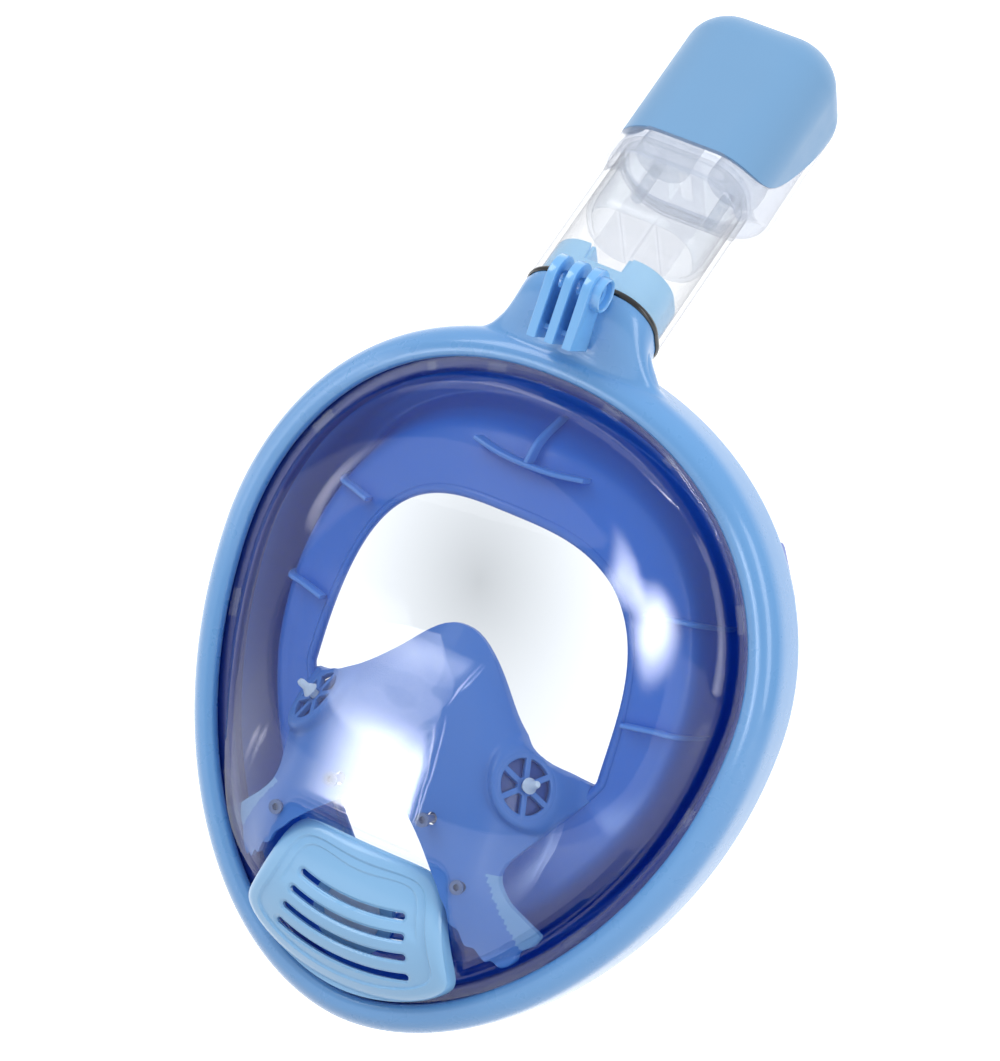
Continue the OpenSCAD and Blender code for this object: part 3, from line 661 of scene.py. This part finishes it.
def rib(bvh, height, thick, points):
    """Thin web that stands forward from the skirt along a line of (x, z) points."""
    line = spline(points, 8)
    outline = [(-1, 0.8), (-1, 0.4 - height), (-0.6, -height), (0.6, -height), (1, 0.4 - height), (1, 0.8)]
    rows = []
    for (x, z), (nx, nz) in zip(line, path_normals(line) * thick / 2):
        y = bvh.ray_cast(Vector((x * MM, -0.1, z * MM)), Vector((0, 1, 0)))[0].y / MM
        rows.append([[x + nx * off, y + dy, z + nz * off] for off, dy in outline])
    # Lighter blue on the rib: painted highlight of its lit front edge
    return loft("rib", np.array(rows), RIB_PAINTED_HIGHLIGHT, wrap_n=False, caps=True)


def skirt():
    p, d, paths = skirt_paths()
    band = loft("band", swept(p, d, thicken(paths, SKIRT_WALL)), SKIRT)
    # Faces in the deep valley next to the flange take the dark navy, a painted shade
    band.data.materials.append(SKIRT_PAINTED_SHADE)
    for f in band.data.polygons:
        c = np.array(f.center) / MM
        gap = np.hypot(p[:, 0] - c[0], p[:, 1] - c[2])
        k = gap.argmin()
        f.material_index = int(c[1] - rim_y(p[k, 0]) < 10 and gap[k] < 9)
    bead = swept(p, d, paths[:, -1, None] + circle(1.7, 14))
    parts = [band, loft("bead", bead, SKIRT)]
    bvh = BVHTree.FromObject(band, bpy.context.evaluated_depsgraph_get())
    parts.append(rib(bvh, 6.5, 1.5, [[-19.5, 66], [-10, 64.6], [0, 64.2], [10, 64.6], [19.5, 66]]))
    parts.append(rib(bvh, 6.0, 1.5, [[0, 64], [0, 70], [0, 76], [0, 80]]))
    for side in (-1, 1):
        for line in ([[50, 33.5], [60, 35], [69.5, 35]], [[54.5, -1.5], [65, 0], [74, 0.5]]):
            parts.append(rib(bvh, 5.0, 1.4, np.array(line) * [side, 1]))
    put(join("soft_skirt", parts), "face_skirt", angle=60)


# -------- nose pocket
def pocket_outline():
    """The pocket's outline, (x, z): its right half, from the nose bridge round to the arch's apex, and the
    mirror image."""
    top = [(x, -31 + 42 / (1 + (x / 25.5) ** 2.3)) for x in np.linspace(0, 51, 24)]
    side = spline([(52.6, -26.5), (48.5, -35), (44, -45), (41.0, -52), (41.2, -57), (45, -62.5),
                   (50.5, -67.5), (54.6, -71.2)], 4)
    ragged = spline([(54.8, -72.4), (53.5, -75.5), (50.6, -78.4), (49.8, -82), (46.8, -85.4), (44.4, -83.6),
                     (42.6, -84.2), (40, -80.5), (37.6, -80), (35.5, -75.5), (32.8, -74), (31, -69.8),
                     (28.4, -66.6)], 4)
    arch = [(x, -44.6 - 1.2 * (np.sqrt(x * x + 196) - 14)) for x in np.linspace(26.5, 0, 20)]
    half = np.vstack([top, side, ragged, arch])
    return np.vstack([half, (half * [-1, 1])[::-1][1:-1]])


def spoked_loops(r, hub):
    """Six windows between six spokes, from radius hub out to r."""
    half_spoke = 0.95
    loops = []
    for k in range(6):
        a0, a1 = math.radians(60 * k), math.radians(60 * k + 60)
        outer = np.linspace(a0 + half_spoke / r, a1 - half_spoke / r, 12)
        inner = np.linspace(a1 - half_spoke / hub, a0 + half_spoke / hub, 6)
        arcs = ((r, outer), (hub, inner))
        loops.append(np.vstack([np.stack([q * np.cos(a), q * np.sin(a)], -1) for q, a in arcs]))
    return loops


def pocket_sheet():
    """Sheet of the pocket's wall, larger than its outline."""
    step = 0.9
    gx, gz = np.meshgrid(np.arange(-58.5, 58.51, step), np.arange(14.5, -92, -step), indexing="ij")
    # Flat round each inhale valve's seat
    lean_x, lean_y, lean_z = INHALE_NORMAL
    over_x, over_z = np.abs(gx) - INHALE_CENTRE[0], gz - INHALE_CENTRE[2]
    flat_y = INHALE_CENTRE[1] + (0.9 - lean_x * over_x - lean_z * over_z) / lean_y
    away = np.sqrt(over_x ** 2 + (flat_y - INHALE_CENTRE[1]) ** 2 + over_z ** 2)
    gy = mix(flat_y, pocket_y(gx, gz), ease((away - 11.3) / 6))
    rise, fall = np.gradient(gy, step, -step)
    normal = unit(np.stack([-rise, np.ones_like(gy), -fall], -1))
    front = np.stack([gx, gy, gz], -1)
    back = front + normal * POCKET_WALL
    n, m = gx.shape
    faces = grid_faces(n, m, False, False)
    faces += [[n * m + v for v in q[::-1]] for q in faces]
    edge = [i * m for i in range(n)] + [(n - 1) * m + j for j in range(1, m)]
    edge += [i * m + m - 1 for i in range(n - 2, -1, -1)] + list(range(m - 2, 0, -1))
    faces += [[a, b, n * m + b, n * m + a] for a, b in zip(edge, edge[1:] + edge[:1])]
    return new_object("pocket_sheet", np.vstack([front.reshape(-1, 3), back.reshape(-1, 3)]), faces, POCKET)


def pocket():
    sheet = pocket_sheet()
    boolean(sheet, prism("outline", pocket_outline(), FRONT_VIEW, -60, 60), "INTERSECT")
    paint(sheet, POCKET, WING)
    for side in (-1, 1):
        boolean(sheet, prism("seat_hole", circle(9.8, 72), seat_at(side), -9, 9))
        for x, z in PIN_PLACES:
            boolean(sheet, prism("pin_hole", circle(2.0, 32, (side * x, z)), FRONT_VIEW, -60, 60))
    for f in sheet.data.polygons:
        c = f.center / MM
        f.material_index = int(abs(c.x) > 41.5 - 0.6 * (c.z + 62) and c.z < -56)
    holes = spoked_loops(8.9, 3.0) + [circle(1.56, 32)]
    seats = [plate("seat", circle(10.8, 96), holes, 2.0, 0.35, seat_at(side), POCKET) for side in (-1, 1)]
    put(join("soft_pocket", [sheet] + seats), "nose_pocket", angle=45)


def pins():
    """Posts that hold the pocket to the visor, each with a head behind the pocket and a socket in front."""
    parts = []
    for x, z in PIN_PLACES:
        back = float(pocket_y(x, z)) + 3.4
        length = back - (float(visor_y(x, z)) + VISOR_WALL + 0.6)
        profile = [[0.01, -0.9], [1.7, -0.9], [2.1, -0.6], [2.1, 0], [1.35, 0.3], [1.25, length - 2.2],
                   [1.9, length - 1.8], [2.3, length - 1], [2.3, length], [1.1, length], [1.0, length - 1.4],
                   [0.01, length - 1.4]]
        for side in (-1, 1):
            place = place_at([side * x, back, z], [0, -1, 0], [1, 0, 0])
            parts.append(lathe("pin", profile, place, POST, 40))
    put(join("pocket_posts", parts), "pocket_pins")


def inhale_valve(side, word):
    """Disc behind the seat, with a stem through it and a nipple in front; the disc is dark blue, a painted shade
    for the dark interior seen through the seat's windows.
    """
    place = seat_at(side)
    profile = [[0.01, -1.95], [3, -1.95], [7.5, -1.75], [9.0, -1.5], [9.2, -1.2], [9.0, -1.1], [1.9, -1.15],
               [1.46, -1.0], [1.46, 2.75], [2.5, 2.85], [2.6, 3.1], [1.9, 4.2], [1.3, 5.1], [1.2, 7.4],
               [0.85, 8.05], [0.01, 8.1]]
    name = f"inhale_valve_{word}"
    valve = lathe(name + "_body", profile, place, MILKY)
    valve.data.materials.append(FLAP_PAINTED_SHADE)
    centre, axis = place[:3, 3], place[:3, 2]
    # Faces away from the stem, the disc, take the dark blue painted shade
    for f in valve.data.polygons:
        off = np.array(f.center) / MM - centre
        f.material_index = int(np.linalg.norm(off - (off @ axis) * axis) > 2.7)
    put(valve, name, f"{word}_inhale_flap")


# -------- purge valve and cover
def purge_valve():
    profile = [[0.01, -5.6], [1.0, -5.6], [2.1, -3.0], [2.2, -2.5], [1.5, -2.3], [1.46, 2.3], [3, 2.5],
               [9.6, 2.55], [10.0, 2.8], [9.7, 3.1], [6.0, 3.3], [1.6, 3.4], [1.2, 3.9], [0.01, 4.0]]
    put(lathe("purge_flap_disc", profile, PURGE_PLACE, MILKY), "purge_valve", "purge_flap")


def cover_slots():
    """Each vent slot's middle line, an arc of radius SAG_R about (0, centre): its centre and half angle."""
    slots = []
    for i in range(SLOT_COUNT):
        half = SLOT_HALF + 1.7 * i
        centre = SLOT_TOP - SLOT_PITCH * i + math.sqrt(SAG_R ** 2 - half ** 2)
        slots.append((centre, math.asin(half / SAG_R)))
    return slots


def arc_point(centre, a, r=SAG_R):
    return np.stack([r * np.sin(a), centre - r * np.cos(a)], -1)


def slot_distance(x, z):
    """Distance from the nearest slot's middle line."""
    best = np.full(x.shape, 1e3)
    for centre, reach in cover_slots():
        near = arc_point(centre, np.clip(np.arctan2(x, centre - z), -reach, reach))
        best = np.minimum(best, np.hypot(x - near[..., 0], z - near[..., 1]))
    return best


def slot_outline(centre, reach):
    a = np.linspace(-reach, reach, 40)
    ends = np.linspace(0, math.pi, 10)[1:-1]

    def cap(angle, flip):
        out = np.array([math.sin(angle), -math.cos(angle)]) * flip
        tangent = np.array([math.cos(angle), math.sin(angle)]) * flip
        turn = [out * math.cos(e) + tangent * math.sin(e) for e in ends]
        return arc_point(centre, angle) + SLOT_R * np.array(turn)

    low, high = arc_point(centre, a, SAG_R + SLOT_R), arc_point(centre, a[::-1], SAG_R - SLOT_R)
    return np.vstack([low, cap(reach, 1), high, cap(-reach, -1)])


def purge_cover():
    c, s = np.cos(turn(480)), np.sin(turn(480))
    r = (np.abs(c) ** 7 + np.abs(s) ** 7) ** (-1 / 7)
    across, up = r * c, (r * s + 1) / 2
    x = across * mix(39, 27, up)
    p = np.stack([x, mix(-111.4 + 12 * (x / 36.2) ** 2, -61, up)], -1)
    shares = np.r_[np.linspace(0, 0.3, 34), np.linspace(0.3, 0.985, 52)[1:]]
    d, dist, px, pz = spokes(p, COVER_POLE, 0.55, shares)
    edge = 2.6 * (1 - np.sqrt(np.clip(1 - (1 - np.clip(dist / 3.2, 0, 1)) ** 2, 0, 1)))
    # Two steps down from the edge, the second only on the upper part, and a raised lip round each slot
    step = 1.0 * ease((dist - 5.0) / 1.1) + 0.7 * ease((dist - 8.2) / 0.9) * ease((pz + 82) / 6 + 0.5)
    lips = 0.8 * (1 - ease((slot_distance(px, pz) - 1.2) / 0.9))
    face = cover_y(px, pz) + edge + step + lips
    foot = np.minimum(visor_y(p[:, :1], p[:, 1:]), rim_y(p[:, :1]) - 2) - 0.55
    down = np.linspace(0, 1, 12)[None]
    side_y = mix(foot, face[:, :1] + 0.2, down)
    side = np.stack([np.broadcast_to(0.15 + 0.4 * down ** 3, side_y.shape), side_y], -1)
    outer = np.concatenate([side, np.stack([dist, face], -1)], 1)
    at, y = outer[..., 0], outer[..., 1]
    near_edge = at < 2.0
    inner = np.stack([np.where(near_edge, 1.9 + at * 0.2, at), y + np.where(near_edge, 0, 1.6)], -1)
    cover = polar_dish("cover", swept(p, d, np.concatenate([outer[:, ::-1], inner], 1)), COVER_BLUE)
    for centre, reach in cover_slots():
        boolean(cover, prism("slot", slot_outline(centre, reach), FRONT_VIEW, -60, 20))
    paint(cover, COVER_BLUE)
    put(cover, "purge_cover", angle=32)


# -------- camera mount
def camera_mount():
    """Three ears on a foot, tied by a bar, with a nut boss outside the left ear."""
    ear_y, ear_z, r, back, foot_z, pitch = -17.0, 123.0, 7.5, -10.0, 104.0, 6.2
    a = np.radians(np.linspace(0, 180, 60))
    top = np.stack([ear_y - r * np.cos(a), ear_z + r * np.sin(a)], -1)
    outline = np.vstack([[[ear_y - r + 0.6, foot_z]], top[top[:, 0] <= back], [[back, foot_z]]])
    parts = []
    for i in (-1, 0, 1):
        place = place_at([i * pitch, 0, 0], [1, 0, 0], [0, 1, 0])
        parts.append(plate("ear", outline, [circle(2.5, 48, (ear_y, ear_z))], 3.0, 0.35, place, MOUNT_BLUE))
    side = pitch + 1.5
    boss = [[2.5, -0.2], [5.6, -0.2], [5.6, 2.3], [5.4, 2.8], [4.95, 3.0], [4.6, 2.8], [4.4, 2.4], [4.4, 0.6],
            [4.2, 0.5], [2.5, 0.5]]
    parts.append(lathe("boss", boss, place_at([side, ear_y, ear_z], [1, 0, 0], [0, 1, 0]), MOUNT_BLUE))
    for name, depth, corner, height, y, z in (("bridge", 4.4, 1.2, 1.8, ear_y + 0.2, 108.0),
                                              ("foot", 2.4, 0.6, 11, back - 0.9, 109.6)):
        place = place_at([0, y, z], [0, 0, 1], [1, 0, 0])
        outline = rounded_rect(2 * side, depth, corner, 40)
        parts.append(plate(name, outline, [], height, 0.5, place, MOUNT_BLUE))
    put(join("mount_ears", parts), "camera_mount")


# -------- snorkel
def sleeve(name, levels, material):
    """Tube along the snorkel through pairs of outline and level, up the outside and down the inside."""
    return loft(name, np.array([section(outline, s) for outline, s in levels]), material)


def slab(name, x0, x1, s0, s1, w0, w1, material, bevel=0.3):
    """Thin rounded slab along the snorkel."""
    rings = []
    for s, inset in [(s0, bevel), (s0 + bevel, 0), (s1 - bevel, 0), (s1, bevel)]:
        o = rounded_rect(x1 - x0 - 2 * inset, w1 - w0 - 2 * inset, min(0.35, (x1 - x0) / 3), 32)
        rings.append(section(o + [(x0 + x1) / 2, (w0 + w1) / 2], s))
    return loft(name, np.array(rings), material, wrap_n=False, caps=True)


def dividers(name, half, s0, s1, depth, material):
    """The two walls between the middle channel and the side channels."""
    xs = (-CHANNEL_X, CHANNEL_X)
    return [slab(name, x - half, x + half, s0, s1, -depth, depth, material) for x in xs]


def connector():
    outer, inner = tube_line(2), tube_line(3.8)
    # The front and back walls are lower between the two dividers
    top = np.where(np.abs(outer[:, 0]) < CHANNEL_X + 0.7, 10.0, 16.0)
    spigot = [(outer, 0.0), (outer, 0.5 * top), (outer, 0.97 * top), (outer * 0.99, top), (inner * 1.01, top),
              (inner, 0.97 * top), (inner, 0.0)]
    flange, hole = tube_line(0.5), rounded_rect(11, 22, 2)
    parts = [sleeve("spigot", spigot, CYAN)]
    parts.append(sleeve("flange", [(flange, -1.5), (flange, 0.0), (hole, 0.0), (hole, -1.5)], RING_BLUE))
    parts += dividers("divider", 0.7, 0, 16, 13.5, CYAN)
    put(join("spigot_ring", parts), "snorkel_connector")


def exhale_flap(side, word):
    x = side * 11.75
    name = f"exhale_flap_{word}"
    parts = [slab("flap", x - 3.7, x + 3.7, 0.1, 0.9, -9, 9, MILKY, 0.2),
             slab("bead", x - 3.4, x + 3.4, 0.7, 1.25, -8.9, -7.6, MILKY, 0.2)]
    put(join(name + "_sheet", parts), name, f"{word}_exhale_flap")


def gasket():
    outer, inner = tube_line(0.2), tube_line(1.95)
    bulge = [(0.0, 0.05), (0.35, 0.5), (0.45, 1.0), (0.35, 1.5), (0.0, 1.98)]
    levels = [(outer * (1 + grow / 20), s) for grow, s in bulge] + [(inner, 1.98), (inner, 0.05)]
    put(sleeve("gasket_ring", levels, RUBBER), "neck_gasket")


def tube():
    bevel = 0.4
    outer, inner = tube_line(0), tube_line(TUBE_WALL)
    levels = [(outer, TUBE_BASE + bevel), (outer, TUBE_TOP - bevel), (outer * 0.99, TUBE_TOP), (inner, TUBE_TOP),
              (inner, TUBE_BASE), (outer * 0.99, TUBE_BASE)]
    parts = [sleeve("pipe", levels, TUBE)] + dividers("web", 0.7, 16.5, 31.5, 14.6, WEB)
    put(join("clear_tube", parts), "snorkel_tube", "snorkel", angle=15)


def cup():
    outer, inner = tube_line(2), tube_line(3.6)
    down = [(1, TUBE_TOP), (1, 38), (0.985, 34.5), (0.94, 32.6), (0.9, 32)]
    up = [(0.92, 32.6), (0.97, 34.5), (1, 38), (1, TUBE_TOP)]
    levels = [(outer * k, s) for k, s in down] + [(inner * k, s) for k, s in up]
    parts = [sleeve("cup_wall", levels, CUP)]
    parts += dividers("web", 0.9, 32.5, TUBE_TOP, 13, WEB)
    holes = [rounded_rect(30, 7, 1.5, 48) + [0, -9.1], rounded_rect(5.2, 15, 1.2, 48) + [0, 3.5]]
    holes += [circle(2.06, 32, (x, FLOAT_W)) for x in (-FLOAT_X, FLOAT_X)]
    parts.append(plate("deck", tube_line(0), holes, 2.0, 0.3, snorkel_place(0, TUBE_TOP + 1.2, 0), CUP))
    put(join("clear_cup", parts), "valve_cup", "snorkel", angle=15)


def cap():
    def shell(inset):
        """Rings of one side of the cap's wall, from its lower edge up the sides and over the crown."""
        side = head_line(inset)
        knee = HEAD_TOP - inset - CROWN
        low = np.minimum(split_s(side[:, 1]), knee - 0.5) + 0.25
        rings = [section(side, mix(low, knee, v)) for v in np.linspace(0, 1, 36)]
        pull, rise = HEAD_R - 1.5, CROWN * 0.94
        for a in np.radians(np.linspace(3, 90, 28)):
            rings.append(section(head_line(inset + pull * (1 - math.cos(a))), knee + rise * math.sin(a)))
        last, centre = head_line(inset + pull), np.array([0, HEAD_Y])
        for k in (0.75, 0.5, 0.25, 0.02):
            rings.append(section(centre + (last - centre) * k, knee + rise + 0.9 * (1 - k ** 2)))
        return np.array(rings)

    outer, inner = shell(0), shell(1.9)
    edge = outer[:1] * 0.75 + inner[:1] * 0.25 - AXIS_T * 0.3
    obj = loft("cap", np.concatenate([outer[::-1], edge, inner]), CAP_BLUE, wrap_n=False, caps=True)
    put(obj, "top_cap", "snorkel", angle=50)


def housing():
    """Clear wall from the cap's edge down to the tube, with a rounded foot behind."""
    wall, foot_r = 1.7, 9
    line = head_line(0)
    w = line[:, 1].copy()
    # The front is flush with the tube, so it stays a hair outside it
    line[w < -TUBE_D / 2 + 0.6, 1] = -TUBE_D / 2 - 0.5
    knee = np.clip(52 + 8 * (w - 0.5) / 13, 52, 61) + foot_r
    top = np.maximum(split_s(w) - 0.25, knee + 0.5)
    rings = [section(line, mix(top, knee, v)) for v in np.linspace(0, 1, 20)]
    tube_line = rounded_rect(TUBE_W + 0.7, TUBE_D + 0.7, TUBE_R + 0.3, 240)
    for a in np.radians(np.linspace(6, 90, 16)):
        rings.append(section(tube_line + (line - tube_line) * math.cos(a), knee - foot_r * math.sin(a)))
    rings = np.array(rings)
    centre = snorkel_point(0, 85.0, HEAD_Y)
    radial = unit(rings - (centre + ((rings - centre) @ AXIS_T)[..., None] * AXIS_T))
    lift = np.linspace(0, 1, len(rings))[:, None, None] ** 3
    inner = rings - radial * wall * (1 - lift) + AXIS_T * 1.5 * lift
    obj = loft("housing", np.concatenate([rings, inner[::-1]]), HOUSING)
    put(obj, "rear_housing", "snorkel", angle=50)


def seat_plate():
    holes = [circle(6, 64, (x, FLOAT_W)) for x in (-FLOAT_X, FLOAT_X)]
    put(plate("float_seat", head_line(2.2, 192), holes, 1.8, 0.35, snorkel_place(0, 102.6, 0), PALE),
        "seat_plate", "snorkel")


def float_valve(side, word):
    """Hollow float on its stem, with the rubber pad that shuts the seat above it."""
    place = snorkel_place(side * FLOAT_X, 0, FLOAT_W)
    body = [[0.01, 51.2], [1.6, 51.2], [1.95, 51.6], [1.95, 67.6], [2.4, 68.1], [8.9, 68.1], [9.4, 68.6],
            [9.4, 73], [9.1, 73.3], [9.1, 86.6], [9.4, 87], [9.4, 91.4], [8.9, 91.9], [0.01, 91.9]]
    seal = [[0.01, 92.0], [7.6, 92.0], [8.3, 92.2], [8.5, 92.8], [8.3, 93.3], [7.6, 93.55], [5.6, 93.55],
            [5.2, 93.2], [0.01, 93.2]]
    pieces = (("float_", "_body", body, FLOAT, "clear_plastic"),
              ("float_seal_", "_pad", seal, RUBBER, "gasket_black"))
    for start, end, profile, material, slot in pieces:
        name = start + word
        put(lathe(name + end, profile, place, material), name, f"{word}_float")


# -------- camera, light and floor
def camera():
    az, el, roll = math.radians(21), math.radians(9), math.radians(19.16)
    back = Vector((math.sin(az) * math.cos(el), -math.cos(az) * math.cos(el), math.sin(el)))
    right = Vector((math.cos(az), math.sin(az), 0))
    up = back.cross(right)
    turned_right = right * math.cos(roll) + up * math.sin(roll)
    turned_up = -right * math.sin(roll) + up * math.cos(roll)
    data = bpy.data.cameras.new("camera")
    data.lens = 162.87
    data.sensor_width = 36
    data.clip_start = 0.05
    obj = linked(bpy.data.objects.new("camera", data))
    m = Matrix((turned_right, turned_up, back)).transposed().to_4x4()
    m.translation = (right * -3.46 + up * 40.5) * MM + back * 1.5
    obj.matrix_world = m
    bpy.context.scene.camera = obj


def visor_point(x, z):
    return np.stack([x, visor_y(x, z), z], -1)


def mirror_card(name, target, surface, a, b, distance, strength, glow, colour=(0.96, 0.97, 1)):
    """Soft box that only the target piece mirrors, shaped so that its image fills a patch of that piece.

    surface(a, b) gives the patch's points; glow gives its brightness over them."""
    h = 0.01
    point = surface(a, b)
    n = unit(np.cross(surface(a + h, b) - surface(a - h, b), surface(a, b + h) - surface(a, b - h)))
    ray = unit(point - np.array(bpy.context.scene.camera.matrix_world.translation) / MM)
    out = ray - 2 * (ray * n).sum(-1, keepdims=True) * n
    verts = (point + out * distance).reshape(-1, 3)
    obj = new_object(name, verts, grid_faces(*a.shape, False, False), closed=False)
    brightness = obj.data.attributes.new("glow", "FLOAT", "POINT")
    brightness.data.foreach_set("value", glow.ravel().astype(np.float32))
    aim = obj.data.attributes.new("aim", "FLOAT_VECTOR", "POINT")
    aim.data.foreach_set("vector", out.ravel().astype(np.float32))
    m, tree = new_material(name + "_light")
    # Each point shines only back along the ray it was placed by
    towards = add(tree, "VectorMath", {
        0: add(tree, "Attribute", {}, attribute_name="aim").outputs["Vector"],
        1: add(tree, "NewGeometry", {}).outputs["Incoming"]}, operation="DOT_PRODUCT")
    lit = add(tree, "Math", {
        0: add(tree, "Attribute", {}, attribute_name="glow").outputs["Fac"],
        1: ranged(tree, towards, 0, strength, -0.9965, -0.999)}, operation="MULTIPLY")
    light = add(tree, "Emission", {"Color": (*colour, 1), "Strength": lit})
    # Clear, so that one card never hides another or the room
    clear = add(tree, "BsdfTransparent", {})
    add(tree, "OutputMaterial", {"Surface": add(tree, "AddShader", {0: light, 1: clear})})
    obj.data.materials.append(m)
    smooth(obj, 180)
    obj.visible_camera = obj.visible_diffuse = obj.visible_shadow = obj.visible_transmission = False
    if target not in bpy.data.collections:
        bpy.data.collections.new(target).objects.link(bpy.data.objects[target])
    obj.light_linking.receiver_collection = bpy.data.collections[target]


def patch(a_count, b_count):
    """Shares of the way across and up a patch."""
    return np.meshgrid(np.linspace(0, 1, a_count), np.linspace(0, 1, b_count), indexing="ij")


def visor_card(name, z_low, z_high, left, right, distance, strength, glow, **colour):
    """Card mirrored by a patch of the visor between left(z) and right(z), of brightness glow(u, v, z)."""
    u, v = patch(40, 40)
    z = mix(z_low, z_high, v)
    x = mix(left(z), right(z), u)
    mirror_card(name, "visor_window", visor_point, x, z, distance, strength, glow(u, v, z), **colour)


def crest_card(where, t_from, t_to, q_from, q_to, strength):
    """Card mirrored by a strip of the ring's front, between two angles and two lengths along its run."""
    u, v = patch(90, 12)
    t, q = np.radians(mix(t_from, t_to, u)), mix(q_from, q_to, v)
    glow = fade(u, 0.25, 0.25) * fade(v, 0.35, 0.35)
    mirror_card(f"crest_{where}_card", "front_ring", ring_surface, t, q, 150, strength, glow)


def reflections():
    def nose_right(z):
        return np.interp(z, [-62, -44, -31, -21, -13, -6, 2, 14],
                         [13.7, 13.6, 12.1, 9.3, 6.6, -1.3, -11, -20])

    def brow(*xs):
        return lambda z: np.interp(z, [8, 24, 48, 78] if len(xs) == 4 else [8, 20, 45, 60, 78], xs)

    def rim_x(z):
        reach = np.where(z > RING_LEVEL, RING_UP, RING_DOWN)
        return RING_HALF * np.sqrt(1 - ((z - RING_LEVEL) / reach) ** 2)

    visor_card("nose_card", -63, 14, lambda z: nose_right(z) - 42, nose_right, 400, 23.0,
               lambda u, v, z: fade(u, 0.62, 0.04) * mix(1.0, 0.06, ease((z + 32) / 14)) * fade(v, 0.04, 0.1))
    visor_card("nose_line_card", -50, -15, lambda z: nose_right(z) + 1.3, lambda z: nose_right(z) + 1.9,
               400, 12.0, lambda u, v, z: fade(v, 0.2, 0.1))
    visor_card("brow_card", 8, 78, brow(60, 51, 40, 34), brow(69, 70, 66, 59, 42), 400, 32.0,
               lambda u, v, z: fade(u, 0.4, 0.35) * fade(v, 0.3, 0.5))
    visor_card("left_band_card", -62, 66, lambda z: 11.0 - rim_x(z), lambda z: 17.5 - rim_x(z), 150, 10.0,
               lambda u, v, z: fade(u, 0.3, 0.5) * fade(v, 0.2, 0.2), colour=(0.96, 0.94, 1))
    visor_card("low_right_card", -66, -22, lambda z: rim_x(z) - 30, lambda z: rim_x(z) - 12, 150, 5.0,
               lambda u, v, z: fade(u, 0.5, 0.3) * fade(v, 0.4, 0.4), colour=(0.7, 0.85, 1))
    crest_card("top", 62, 150, 3.0, 4.4, 9)
    crest_card("left", 118, 190, 3.2, 8.5, 3)
    crest_card("right", -8, 48, 4.6, 6.4, 10)


def stage():
    """Floor that curves up into a backdrop, in metres."""
    floor_z, half, reach, radius = -0.26, 4.0, 2.2, 1.0
    start = reach - radius
    profile = [(-3.0, floor_z), (start, floor_z)]
    for a in np.radians(np.linspace(5, 90, 18)):
        profile.append((start + radius * math.sin(a), floor_z + radius * (1 - math.cos(a))))
    profile.append((reach, 4.0))
    verts = np.array([(x, y, z) for x in (-half, half) for y, z in profile]) / MM
    obj = new_object("studio_sweep", verts, grid_faces(2, len(profile), False, False), closed=False)
    m, tree = new_material("studio_white")
    # A soft shade on the floor, seen through the face opening
    view = bpy.context.scene.camera.matrix_world
    right, up, back = view.to_3x3().transposed()
    spot = view.translation - (back + right * 0.0042 + up * 0.0103) * 3.15
    place = add(tree, "NewGeometry", {}).outputs["Position"]
    offset = add(tree, "VectorMath", {0: place, 1: spot}, operation="SUBTRACT")
    across, along = (add(tree, "VectorMath", {0: offset, 1: way}, operation="DOT_PRODUCT")
                     for way in (right / 0.13, up / 0.19))
    centred = add(tree, "CombineXYZ", {"X": across, "Y": along})
    spot_shape = add(tree, "TexGradient", {0: centred}, gradient_type="SPHERICAL").outputs["Fac"]
    shade = ranged(tree, spot_shape, 0.92, 0.42, 0, 1)
    matt = add(tree, "BsdfDiffuse", {"Color": shade})
    glow = add(tree, "Emission", {"Color": shade, "Strength": 0.65})
    add(tree, "OutputMaterial", {"Surface": add(tree, "AddShader", {0: matt, 1: glow})})
    obj.data.materials.append(m)
    smooth(obj, 60)
    obj.visible_diffuse = False


def soft_box(name, location, size, power):
    """Rectangular light of the given size, in metres, turned to the mask."""
    data = bpy.data.lights.new(name, "AREA")
    data.shape = "RECTANGLE"
    data.size, data.size_y = size
    data.energy = power
    obj = linked(bpy.data.objects.new(name, data))
    obj.location = location
    obj.rotation_euler = (Vector((0, 0, 0.02)) - Vector(location)).to_track_quat("-Z", "Y").to_euler()


def lights():
    world = bpy.data.worlds.new("studio")
    world.use_nodes = True
    tree = world.node_tree
    background = tree.nodes["Background"]
    background.inputs["Color"].default_value = (0.93, 0.96, 1, 1)
    # Brighter overhead than underneath
    way = add(tree, "SeparateXYZ", {0: add(tree, "TexCoord", {}).outputs["Generated"]})
    strength = ranged(tree, way.outputs["Z"], 0.5, 1.05, -1, 1)
    tree.links.new(strength.outputs[0], background.inputs["Strength"])
    bpy.context.scene.world = world
    bpy.context.scene.view_settings.view_transform = "Standard"
    bpy.context.scene.cycles.transparent_max_bounces = 64
    soft_box("key_box", (-0.9, -1.1, 1.1), (0.9, 0.9), 9)
    soft_box("side_box", (1.5, -0.5, 0.5), (0.5, 1.2), 7)


# -------- build
for build in (front_frame, rear_frame, visor, skirt, pocket, pins, purge_valve, purge_cover, camera_mount,
              connector, gasket, tube, cup, cap, housing, seat_plate):
    build()
for build in (inhale_valve, exhale_flap, float_valve):
    build(1, "left")
    build(-1, "right")
paint(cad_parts["purge_seat"], COVER_BLUE)
for build in (camera, stage, lights, reflections):
    build()
